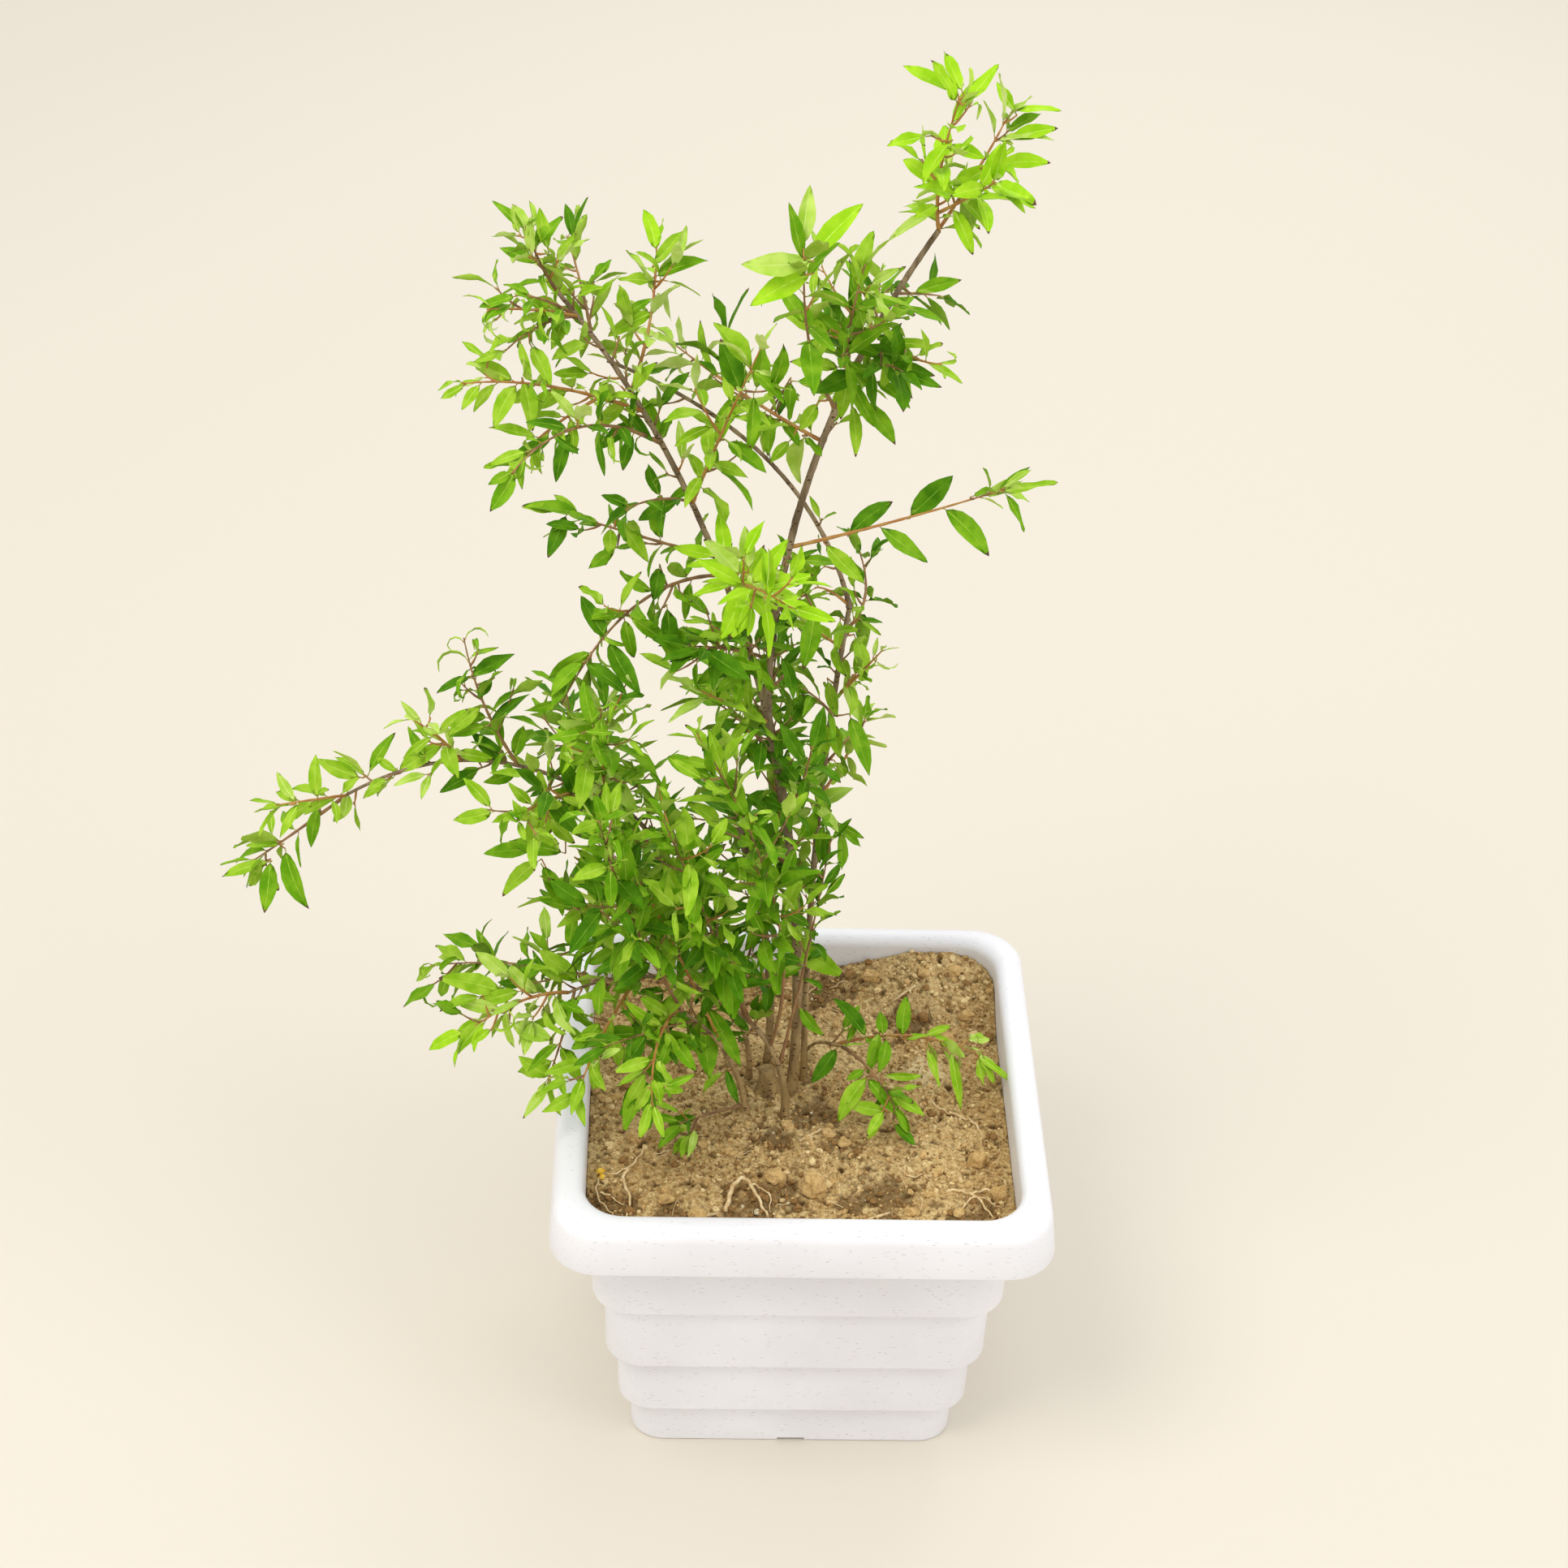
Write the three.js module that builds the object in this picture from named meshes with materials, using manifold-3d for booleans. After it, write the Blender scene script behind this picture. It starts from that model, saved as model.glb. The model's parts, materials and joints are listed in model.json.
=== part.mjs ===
// A young pomegranate shrub, several stems from one crown, in a square stepped planter.
// Millimetres, +Z up. The origin is the centre of the planter's flat underside.
// +X is to the right of the planter's front, and +Y runs to its back.
import * as THREE from "three";
import { mergeVertices } from "three/addons/utils/BufferGeometryUtils.js";
import Module from "manifold-3d";

const wasm = await Module();
wasm.setup();

// ---- Driving dimensions -------------------------------------------------------------------

const GAP = 0.3; // clear space between a piece and what it stands on or springs from

const PLANTER = {
  height: 222,
  wall: 3,
  floor: 4,
  lean: 0.8, // each tier is this much wider at its top than at its foot
  edge: 1.2, // chamfer under each tier
  corner: 0.2, // corner radius, as a share of the half width
  cornerFacets: 4,
  tiers: [
    { half: 101, foot: 0 },
    { half: 109, foot: 35 },
    { half: 117, foot: 80.5 },
    { half: 125, foot: 133 },
    { half: 132.5, foot: 178 },
  ],
  rim: { half: 150, foot: 189.5, draft: 2.5, band: 20.5, roll: 10, innerRoll: 6.5, rollFacets: 3 },
  notch: { width: 17, height: 2.6, depth: 8 },
};

const SOIL = {
  level: 191,
  crown: 195, // flat ground that the stems stand on
  crownHalf: 46,
  mound: { from: 65, high: 4.5, slope: 0.15, highest: 24 }, // heaped against the back right
  rings: [104, 70, 46],
};
const GROUND = SOIL.crown + GAP;

const BARK = { sides: 6, steps: 6, flare: 0.55 };
const TWIG = { sides: 3, foot: 1.4, side: 1, tip: 0.8, rise: 0.16 };
const LEAF = { length: 36, width: 0.38, thick: 1.8, widest: 0.42, sunk: 0.1, angle: 52, light: 0.6 };
const PAIRS = { spacing: 24, perStep: 2 }; // leaf pairs along a stem or twig

// How far leaves keep from the space of another mass, from limbs, from each other, from the
// soil and from the planter's rim.
const CLEAR = { mass: 2.2, limb: 1.1, leaf: 8, soil: 2, rim: 3 };

// Each limb bows through `via` to its `tip`. It stands on the ground or springs from another
// limb, at a share of that limb's length. `thick` is its radius at the foot and at the tip.
const LIMBS = [
  { name: "main_stem", ground: [-4, 10], via: [-7, 9, 341], tip: [-29, 5, 487], thick: [3.3, 2.4] },
  { name: "right_leader", on: ["main_stem", 1], via: [-8, 12, 642], tip: [52, 20, 779], thick: [2.4, 1.5] },
  { name: "left_leader", on: ["main_stem", 0.98], via: [-78, 14, 626], tip: [-147, 30, 734],
    thick: [2, 1.2] },
  { name: "rear_stem", ground: [4, 21], via: [5, 35, 370], tip: [18, 45, 531], thick: [2.1, 1.5] },
  { name: "rear_arch", on: ["rear_stem", 1], via: [-30, 47, 623], tip: [-121, 50, 683], thick: [1.4, 1] },
  { name: "front_stem", ground: [-9, -16], via: [-16, -15, 244], tip: [-41, -5, 272], thick: [2.3, 1.5] },
  { name: "cut_stem", ground: [-20, 26], via: [-22, 20, 296], tip: [-43, 15, 397], thick: [2.5, 2.3] },
  { name: "left_stem", ground: [-33, -10], via: [-37, -10, 218], tip: [-45, -13, 242], thick: [2, 1.5] },
  { name: "left_rear_stem", ground: [-31, 22], via: [-32, 19, 224], tip: [-41, 12, 256], thick: [1.9, 1.5] },
  { name: "root_crown", ground: [-19, 9], via: [-19, 9, 205], tip: [-20, 9, 214], thick: [5.5, 4.6] },
  { name: "arch_bough", on: ["left_rear_stem", 1], via: [-84, 8, 378], tip: [-133, 6, 427],
    thick: [1.5, 1.3] },
  { name: "arch_end", on: ["arch_bough", 1], via: [-200, 1, 450], tip: [-268, -5, 429], thick: [1.3, 0.9] },
  { name: "low_bough", on: ["front_stem", 1], via: [-90, -16, 306], tip: [-141, -28, 303],
    thick: [1.4, 0.9] },
  { name: "front_bough", on: ["left_stem", 1], via: [-58, -34, 280], tip: [-76, -46, 306], thick: [1.4, 1] },
  { name: "right_sucker", ground: [3, 33], via: [9, 27, 219], tip: [26, 10, 232], thick: [1.2, 0.9] },
];

// Each mass of foliage is one leafy shoot: a stem that springs from a limb and bows through
// `via` to `tip`, side twigs about `reach` long, and leaves in pairs along them all. `bare` is
// the share of the stem with no leaves, `leaf` a length of its own, and `young` leaves are bright.
const FOLIAGE = [
  { name: "top", on: ["right_leader", 1], via: [50, 13, 814], tip: [56, 0, 860], young: true },
  { name: "top_right", on: ["right_leader", 0.96], via: [70, 32, 806], tip: [84, 42, 830],
    reach: 28, young: true },
  { name: "upper_front", on: ["right_leader", 0.68], via: [6, -8, 730], tip: [12, -20, 778], reach: 36 },
  { name: "upper_tip", on: ["right_leader", 0.62], via: [-14, -22, 730], tip: [-21, -62, 802],
    twigs: 1, reach: 30, bare: 0.3, young: true },
  { name: "upper_right", on: ["right_leader", 0.8], via: [36, -12, 724], tip: [52, -48, 737],
    twigs: 1, reach: 28 },
  { name: "upper_rear", on: ["right_leader", 0.78], via: [25, 66, 701], tip: [30, 116, 708] },
  { name: "centre_top", on: ["left_leader", 0.46], via: [-60, -8, 668], tip: [-40, -36, 738], twigs: 1 },
  { name: "crossing", on: ["right_leader", 0.55], via: [-47, 36, 672], tip: [-88, 84, 679],
    twigs: 1, reach: 30 },
  { name: "upright_left", on: ["left_leader", 0.73], via: [-98, 44, 710], tip: [-95, 72, 741],
    twigs: 1, reach: 30 },
  { name: "left_top", on: ["left_leader", 1], via: [-156, 28, 752], tip: [-163, 24, 774],
    reach: 26, leaf: 27, young: true },
  { name: "left_top_side", on: ["left_leader", 0.93], via: [-158, 8, 734], tip: [-182, -6, 741],
    twigs: 1, reach: 28, leaf: 28 },
  { name: "left_top_rear", on: ["left_leader", 0.88], via: [-136, 70, 719], tip: [-145, 112, 727],
    twigs: 1, reach: 28 },
  { name: "left_outer", on: ["left_leader", 0.68], via: [-150, -12, 700], tip: [-194, -28, 709],
    reach: 32, leaf: 29 },
  { name: "left_outer_low", on: ["left_leader", 0.6], via: [-132, -26, 684], tip: [-167, -66, 678],
    twigs: 1, reach: 28, leaf: 30 },
  { name: "left_mid", on: ["left_leader", 0.34], via: [-103, 8, 598], tip: [-148, 20, 606], reach: 30 },
  { name: "left_droop", on: ["left_leader", 0.3], via: [-104, -16, 567], tip: [-143, -42, 520],
    twigs: 1, reach: 26, leaf: 36 },
  { name: "centre_front", on: ["left_leader", 0.27], via: [-44, -54, 606], tip: [-22, -108, 626],
    young: true },
  { name: "right_reach", on: ["right_leader", 0.33], via: [38, -1, 616], tip: [94, -13, 644],
    twigs: 1, reach: 26, bare: 0.3 },
  { name: "right_high", on: ["rear_stem", 0.95], via: [29, 76, 523], tip: [22, 118, 536],
    twigs: 1, reach: 32, leaf: 28 },
  { name: "right_mid", on: ["rear_stem", 0.8], via: [26, 28, 498], tip: [36, 14, 522],
    twigs: 1, reach: 28, leaf: 28 },
  { name: "right_low", on: ["rear_stem", 0.6], via: [25, 64, 420], tip: [36, 104, 418],
    reach: 28, leaf: 28 },
  { name: "right_front", on: ["front_stem", 0.42], via: [-2, -10, 304], tip: [12, 2, 398],
    twigs: 1, reach: 26, bare: 0.3, leaf: 30 },
  { name: "centre_left", on: ["right_leader", 0.1], via: [-50, -16, 540], tip: [-74, -38, 556],
    leaf: 30 },
  { name: "centre_rear", on: ["main_stem", 0.85], via: [-39, 58, 446], tip: [-57, 112, 456] },
  { name: "rear_low", on: ["main_stem", 0.6], via: [-33, 64, 357], tip: [-57, 126, 354], reach: 36 },
  { name: "arch_tip", on: ["arch_end", 1], via: [-300, -10, 404], tip: [-324, -13, 386] },
  { name: "arch_up", on: ["arch_end", 0.28], via: [-190, 12, 482], tip: [-201, 22, 520],
    twigs: 1, reach: 26, leaf: 30 },
  { name: "arch_up_left", on: ["arch_end", 0.52], via: [-214, -14, 476], tip: [-230, -26, 498],
    twigs: 1, reach: 24, leaf: 27 },
  { name: "arch_front", on: ["arch_bough", 0.96], via: [-152, -28, 444], tip: [-167, -72, 461],
    reach: 30, leaf: 30 },
  { name: "arch_rear", on: ["arch_bough", 0.9], via: [-136, 50, 426], tip: [-150, 108, 426] },
  { name: "left_upright", on: ["arch_bough", 0.72], via: [-120, -26, 470], tip: [-121, -60, 527],
    young: true },
  { name: "heart_left", on: ["arch_bough", 0.35], via: [-104, -14, 349], tip: [-145, -34, 381] },
  { name: "heart_rear", on: ["left_rear_stem", 0.85], via: [-84, 62, 297], tip: [-125, 112, 306] },
  { name: "outer_shoot", on: ["front_bough", 0.9], via: [-102, -72, 390], tip: [-121, -102, 484],
    bare: 0.2 },
  { name: "inner_shoot", on: ["front_stem", 0.85], via: [-58, -50, 370], tip: [-86, -96, 480],
    reach: 36, bare: 0.25 },
  { name: "tall_shoot", on: ["front_stem", 0.6], via: [-20, -40, 375], tip: [-69, -72, 522],
    reach: 32, bare: 0.3 },
  { name: "low_tip", on: ["low_bough", 1], via: [-170, -36, 302], tip: [-204, -50, 287],
    reach: 30, young: true },
  { name: "low_rear", on: ["low_bough", 0.8], via: [-173, 18, 287], tip: [-229, 44, 264], reach: 32 },
  { name: "low_front", on: ["low_bough", 0.6], via: [-120, -64, 301], tip: [-133, -104, 290], reach: 32 },
  { name: "front", on: ["front_bough", 1], via: [-88, -80, 307], tip: [-90, -116, 292], reach: 32 },
  { name: "foot_shoot", on: ["left_stem", 0.12], via: [-54, -22, 204], tip: [-74, -34, 206],
    twigs: 0, reach: 20, leaf: 24 },
  { name: "sucker_front", on: ["right_sucker", 1], via: [44, -10, 229], tip: [58, -26, 214],
    reach: 26, leaf: 29 },
  { name: "sucker_side", on: ["right_sucker", 0.92], via: [68, 14, 238], tip: [112, 15, 222],
    twigs: 0, reach: 20, leaf: 28, bare: 0.25 },
];

// ---- Materials ----------------------------------------------------------------------------

const finish = (color, roughness) => new THREE.MeshStandardMaterial({ color, roughness, metalness: 0 });
const plastic = finish("#f1f0ee", 0.42);
const earth = finish("#a58b5f", 0.95);
const bark = finish("#7d6549", 0.85);
const matureLeaf = finish("#4f8f2a", 0.55);
const youngLeaf = finish("#86bd3a", 0.5);

const shrub = new THREE.Group();

function add(name, geometry, material) {
  const mesh = new THREE.Mesh(geometry, material);
  mesh.name = name;
  shrub.add(mesh);
}

// ---- Solids -------------------------------------------------------------------------------

// A closed geometry as a solid that can be joined and cut.
function solid(geometry) {
  const bare = new THREE.BufferGeometry().setAttribute("position", geometry.getAttribute("position"));
  if (geometry.index) bare.setIndex(geometry.index);
  const merged = mergeVertices(bare, 1e-4);
  const index = merged.index.array;
  const corners = [];
  for (let i = 0; i < index.length; i += 3) {
    const [a, b, c] = [index[i], index[i + 1], index[i + 2]];
    if (a !== b && b !== c && c !== a) corners.push(a, b, c); // facets that meet an axis have no area
  }
  const vertProperties = merged.attributes.position.array;
  return new wasm.Manifold(new wasm.Mesh({ numProp: 3, vertProperties, triVerts: new Uint32Array(corners) }));
}

// The solid's largest body, with any hollow that joining has sealed filled in.
function largest(joined) {
  return joined.decompose().reduce((best, body) => (body.volume() > best.volume() ? body : best));
}

function geometryOf(body) {
  const mesh = body.getMesh();
  const geometry = new THREE.BufferGeometry();
  geometry.setAttribute("position", new THREE.BufferAttribute(mesh.vertProperties, 3));
  geometry.setIndex(new THREE.BufferAttribute(mesh.triVerts, 1));
  geometry.computeVertexNormals();
  return geometry;
}

// ---- Planter and soil ---------------------------------------------------------------------

const point = (half, z) => new THREE.Vector2(half, z);

// Quarter roll from one point to another, bulging away from `centre`.
function roll(centre, radius, start, facets) {
  const points = [];
  for (let i = 0; i <= facets; i++) {
    const angle = start + (Math.PI / 2) * (i / facets);
    points.push(point(centre.x + radius * Math.cos(angle), centre.y + radius * Math.sin(angle)));
  }
  return points;
}

// A profile of (half width, height) turned about Z, with each turn drawn out to a rounded square.
function squareTurned(profile) {
  const facets = PLANTER.cornerFacets;
  const perCorner = facets + 1;
  const geometry = new THREE.LatheGeometry(profile, 4 * perCorner).toNonIndexed();
  const place = geometry.attributes.position;
  for (let i = 0; i < place.count; i++) {
    const half = Math.hypot(place.getX(i), place.getZ(i));
    const turn = Math.atan2(-place.getZ(i), place.getX(i)) / (2 * Math.PI) + 1;
    const slot = Math.round(turn * 4 * perCorner) % (4 * perCorner);
    const quarter = Math.floor(slot / perCorner);
    const angle = (Math.PI / 2) * (quarter + (slot % perCorner) / facets);
    const radius = half * PLANTER.corner;
    const middle = (Math.PI / 2) * (quarter + 0.5);
    const x = Math.sign(Math.cos(middle)) * (half - radius) + radius * Math.cos(angle);
    const y = Math.sign(Math.sin(middle)) * (half - radius) + radius * Math.sin(angle);
    place.setXYZ(i, x, y, place.getY(i));
  }
  return geometry;
}

// The planter's inside from its floor up, kept `gap` off the walls.
function insideProfile(gap) {
  const { tiers, wall, floor, lean } = PLANTER;
  const points = [];
  tiers.forEach((tier, i) => {
    const top = i + 1 < tiers.length ? tiers[i + 1].foot + wall : null;
    points.push(point(tier.half - wall - gap, (i ? tier.foot + wall : floor) + gap));
    if (top) points.push(point(tier.half + lean - wall - gap, top + gap));
  });
  return points;
}

function planter() {
  const { tiers, wall, lean, edge, height, rim, notch, floor } = PLANTER;
  const outside = [point(0, 0)];
  tiers.forEach((tier, i) => {
    const top = i + 1 < tiers.length ? tiers[i + 1].foot : height - wall;
    outside.push(point(tier.half - edge, tier.foot), point(tier.half, tier.foot + edge));
    outside.push(point(tier.half + lean, top));
  });
  const outerRoll = point(rim.half - rim.draft - rim.roll, height - rim.roll);
  const innerRoll = point(rim.half - rim.band + rim.innerRoll, height - rim.innerRoll);
  outside.push(
    point(rim.half - wall - rim.draft, height - wall),
    point(rim.half - wall, rim.foot),
    point(rim.half, rim.foot),
    ...roll(outerRoll, rim.roll, 0, rim.rollFacets),
    ...roll(innerRoll, rim.innerRoll, Math.PI / 2, rim.rollFacets),
  );
  const profile = [...outside, ...insideProfile(0).reverse(), point(0, floor)];
  let pot = solid(squareTurned(profile));
  const cut = new THREE.BoxGeometry(notch.width, 2 * notch.depth, 2 * notch.height);
  for (const side of [-1, 1]) {
    const across = cut.clone().translate(0, side * tiers[0].half, 0);
    pot = pot.subtract(solid(across));
    pot = pot.subtract(solid(across.rotateZ(Math.PI / 2)));
  }
  return geometryOf(pot);
}

const clamp = THREE.MathUtils.clamp;

// Height of the ground: level, a flat low crown under the stems, and a heap at the back right.
function groundHeight(x, y) {
  const { level, crown, crownHalf, mound } = SOIL;
  const away = Math.max(Math.abs(x), Math.abs(y));
  const crownRise = (crown - level) * (1 - THREE.MathUtils.smoothstep(away, crownHalf + 1, 2 * crownHalf));
  const back = THREE.MathUtils.smoothstep(y, mound.from, PLANTER.rim.half - PLANTER.rim.band);
  return level + crownRise + back * clamp(mound.high + mound.slope * x, 0, mound.highest);
}

function soil() {
  const sides = insideProfile(GAP);
  const edge = sides.at(-1).x;
  const top = [edge, ...SOIL.rings, 0].map((half) => point(half, SOIL.level));
  const geometry = squareTurned([point(0, sides[0].y), ...sides, ...top]);
  const place = geometry.attributes.position;
  for (let i = 0; i < place.count; i++) {
    if (place.getZ(i) === SOIL.level) place.setZ(i, groundHeight(place.getX(i), place.getY(i)));
  }
  return geometryOf(solid(geometry));
}

add("planter", planter(), plastic);
add("soil", soil(), earth);

// ---- Limbs --------------------------------------------------------------------------------

// A curve that passes through `via` half way along.
function bowed(from, via, to) {
  const control = via.clone().multiplyScalar(2).addScaledVector(from, -0.5).addScaledVector(to, -0.5);
  return new THREE.QuadraticBezierCurve3(from, control, to);
}

// The direction that a curve runs in at a share of its length, and two directions across it.
function frameAt(curve, share) {
  const along = curve.getTangent(share);
  const bend = new THREE.Vector3().crossVectors(
    curve.v1.clone().sub(curve.v0),
    curve.v2.clone().sub(curve.v0),
  );
  if (bend.length() < 1) bend.crossVectors(along, new THREE.Vector3(1, 0, 0));
  bend.normalize();
  return { along, bend, across: new THREE.Vector3().crossVectors(bend, along) };
}

// A tapering round bar whose rings lie at the given shares of a curve. Its foot can be cut flat
// at the ground, and its last ring can stand out past the curve's end.
function tapered(curve, rings, radiusAt, sides, { flatFoot = false, overhang = 0 } = {}) {
  const steps = rings.length - 1;
  const geometry = new THREE.CylinderGeometry(1, 1, 1, sides, steps);
  const place = geometry.attributes.position;
  for (let i = 0; i < place.count; i++) {
    const ring = Math.round((place.getY(i) + 0.5) * steps);
    const { along, bend, across } = frameAt(curve, rings[ring]);
    const radius = radiusAt(rings[ring]);
    const p = curve.getPoint(rings[ring]);
    p.addScaledVector(across, radius * place.getX(i)).addScaledVector(bend, -radius * place.getZ(i));
    if (ring === steps) p.addScaledVector(along, overhang);
    if (flatFoot && ring === 0) p.z = GROUND;
    place.setXYZ(i, p.x, p.y, p.z);
  }
  return geometry;
}

const shares = (steps, ease = 1) => Array.from({ length: steps + 1 }, (_, i) => (i / steps) ** ease);
const vector = (p) => new THREE.Vector3(...p);
const UP = new THREE.Vector3(0, 0, 1);
const limbs = new Map();

// A body with the space of every limb so far cut away from it.
function cutClear(body) {
  let left = body;
  for (const limb of limbs.values()) left = left.subtract(limb.clearance);
  return largest(left);
}

function limbOf({ name, ground, on, via, tip, thick }) {
  const parent = on && limbs.get(on[0]);
  const from = parent ? parent.curve.getPoint(on[1]) : vector([...ground, GROUND]);
  const curve = bowed(from, vector(via), vector(tip));
  const length = curve.getLength();
  const rooted = !parent;
  const flare = (share) => (rooted ? BARK.flare * Math.exp((-share * length) / 7) : 0);
  const radiusAt = (share) => (thick[0] + (thick[1] - thick[0]) * share) * (1 + flare(share));
  const rings = shares(BARK.steps, rooted ? 1.7 : 1);
  const body = solid(tapered(curve, rings, radiusAt, BARK.sides, { flatFoot: rooted }));
  const stretch = 1 / Math.cos(Math.PI / BARK.sides);
  const clearRadius = (share) => (radiusAt(share) + GAP) * stretch;
  const clearance = solid(tapered(curve, rings, clearRadius, BARK.sides, { overhang: GAP }));
  const spine = rings.map((share) => curve.getPoint(share));
  return { curve, radiusAt, body: cutClear(body), clearance, spine };
}

for (const row of LIMBS) {
  const limb = limbOf(row);
  limbs.set(row.name, limb);
  add(row.name, geometryOf(limb.body), bark);
}

// ---- Foliage ------------------------------------------------------------------------------

// Seeded numbers from 0 to 1, the same on every run.
function seeded(seed) {
  let state = (seed * 2654435761) >>> 0;
  return () => {
    state = (Math.imul(state, 1664525) + 1013904223) >>> 0;
    return state / 4294967296;
  };
}

// A curve with its number of leaf pairs, and the straight steps that its bar is made of.
function twigAlong(curve, fewest) {
  const nodes = Math.max(fewest, Math.round(curve.getLength() / PAIRS.spacing));
  const rings = shares(Math.ceil(nodes / PAIRS.perStep));
  return { curve, nodes, rings, spine: rings.map((share) => curve.getPoint(share)) };
}

// The place on the straight steps at a share of their number.
function placeOn({ spine }, share) {
  const at = share * (spine.length - 1);
  const step = Math.min(Math.floor(at), spine.length - 2);
  return spine[step].clone().lerp(spine[step + 1], at - step);
}

const masses = FOLIAGE.map((row, index) => {
  const { on, via, tip, twigs = 2, reach = 34, bare = 0.15, leaf = LEAF.length } = row;
  const parent = limbs.get(on[0]);
  const curve = bowed(parent.curve.getPoint(on[1]), vector(via), vector(tip));
  const look = { name: `foliage_${row.name}`, material: row.young ? youngLeaf : matureLeaf };
  return { ...twigAlong(curve, 2), ...look, twigs, reach, bare, leaf, random: seeded(index + 1), taken: [] };
});

function distanceTo(spine, p) {
  const line = new THREE.Line3();
  const near = new THREE.Vector3();
  let best = Infinity;
  for (let i = 0; i + 1 < spine.length; i++) {
    line.set(spine[i], spine[i + 1]).closestPointToPoint(p, true, near);
    best = Math.min(best, near.distanceTo(p));
  }
  return best;
}

// A mass keeps to the space nearer to its own stem than to any other mass's, off the limbs,
// above the soil and clear of the planter's rim.
function isOwnSpace(mass, p) {
  const own = distanceTo(mass.spine, p);
  const free = masses.every((other) => other === mass || distanceTo(other.spine, p) > own + CLEAR.mass);
  if (!free) return false;
  for (const limb of limbs.values()) {
    if (distanceTo(limb.spine, p) < limb.radiusAt(0.5) + CLEAR.limb) return false;
  }
  const away = Math.max(Math.abs(p.x), Math.abs(p.y));
  const opening = PLANTER.rim.half - PLANTER.rim.band - CLEAR.rim;
  if (away < opening) return p.z > groundHeight(p.x, p.y) + CLEAR.soil;
  return away > PLANTER.rim.half + CLEAR.rim || p.z > PLANTER.height + CLEAR.rim;
}

// A direction that leans off a curve by `angle` degrees, at a turn round it.
function leaning(frame, angle, turn) {
  const lean = THREE.MathUtils.degToRad(angle);
  const round = THREE.MathUtils.degToRad(turn);
  return frame.along.clone().multiplyScalar(Math.cos(lean))
    .addScaledVector(frame.across, Math.sin(lean) * Math.cos(round))
    .addScaledVector(frame.bend, Math.sin(lean) * Math.sin(round));
}

// Turns that a twig or leaf tries, in order, where its own turn has no free space.
const TURNS = [0, 35, -35, 70, -70];

// A leaf whose outline keeps to the mass's space and off the leaves that are there already.
function leafAt(mass, twig, share, angle, turn, length) {
  const frame = frameAt(twig.curve, share);
  const root = placeOn(twig, share);
  const facing = frame.along.clone().lerp(UP, LEAF.light); // blades face the light more than the twig
  for (const more of TURNS) {
    const along = leaning(frame, angle, turn + more);
    const edge = new THREE.Vector3().crossVectors(along, facing).normalize();
    const width = length * LEAF.width;
    const at = (forward, sideways) =>
      root.clone().addScaledVector(along, forward * length).addScaledVector(edge, sideways * width);
    const outline = [at(1, 0), at(0.7, 0), at(LEAF.widest, 0.5), at(LEAF.widest, -0.5)];
    const crowded = mass.taken.some((p) => outline.some((q) => p.distanceTo(q) < CLEAR.leaf));
    if (!crowded && outline.every((p) => isOwnSpace(mass, p))) {
      mass.taken.push(...outline);
      return { root, along, edge, length, width };
    }
  }
  return null;
}

// Pairs of leaves along a stem or twig, each pair a quarter turn round from the last.
function leafPairs(mass, twig, first) {
  const leaves = [];
  const start = mass.random() * 360;
  for (let node = first; node <= twig.nodes; node++) {
    const atTip = node === twig.nodes;
    for (const side of [0, 1]) {
      const angle = (atTip ? 26 : LEAF.angle) + (mass.random() - 0.5) * 24;
      const turn = start + node * 90 + side * 180 + (mass.random() - 0.5) * 40;
      const length = mass.leaf * (0.78 + 0.34 * mass.random()) * (atTip ? 0.85 : 1);
      const share = (node - 1 + (atTip ? 0.8 : 0.4) + side * 0.15) / twig.nodes;
      leaves.push(leafAt(mass, twig, share, angle, turn, length));
    }
  }
  return leaves.filter(Boolean);
}

// A side twig from a node of the stem, which curves up towards the light.
function sideTwig(mass, order) {
  const share = 0.25 + (0.6 * (order + 0.5)) / mass.twigs;
  const frame = frameAt(mass.curve, share);
  const root = placeOn(mass, share);
  const turn = order * 137.5 + mass.random() * 50;
  const length = mass.reach * (0.75 + 0.4 * mass.random());
  for (const more of TURNS) {
    const along = leaning(frame, 52, turn + more);
    const tip = root.clone().addScaledVector(along, length);
    const via = root.clone().addScaledVector(along, length / 2);
    tip.z += TWIG.rise * length;
    if (isOwnSpace(mass, tip) && isOwnSpace(mass, via)) {
      return twigAlong(bowed(root, via, tip), 2);
    }
  }
  return null;
}

// A leaf is a flat blade, pointed at both ends, with a keel under its widest place.
function leafSolid({ root, along, edge, length, width }) {
  const down = new THREE.Vector3().crossVectors(edge, along);
  const at = (forward, sideways, deep) =>
    root.clone().addScaledVector(along, forward).addScaledVector(edge, sideways).addScaledVector(down, deep);
  const wide = LEAF.widest * length;
  const [foot, tip, keel] = [at(-LEAF.sunk, 0, 0), at(length, 0, 0), at(wide, 0, LEAF.thick)];
  const [left, right] = [at(wide, width / 2, 0), at(wide, -width / 2, 0)];
  const faces = [
    [foot, right, left],
    [foot, left, keel],
    [foot, keel, right],
    [tip, left, right],
    [tip, keel, left],
    [tip, right, keel],
  ];
  return solid(new THREE.BufferGeometry().setFromPoints(faces.flat()));
}

function twigSolid({ curve, rings }, thick) {
  const radiusAt = (share) => thick + (TWIG.tip - thick) * share;
  return solid(tapered(curve, rings, radiusAt, TWIG.sides));
}

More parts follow.
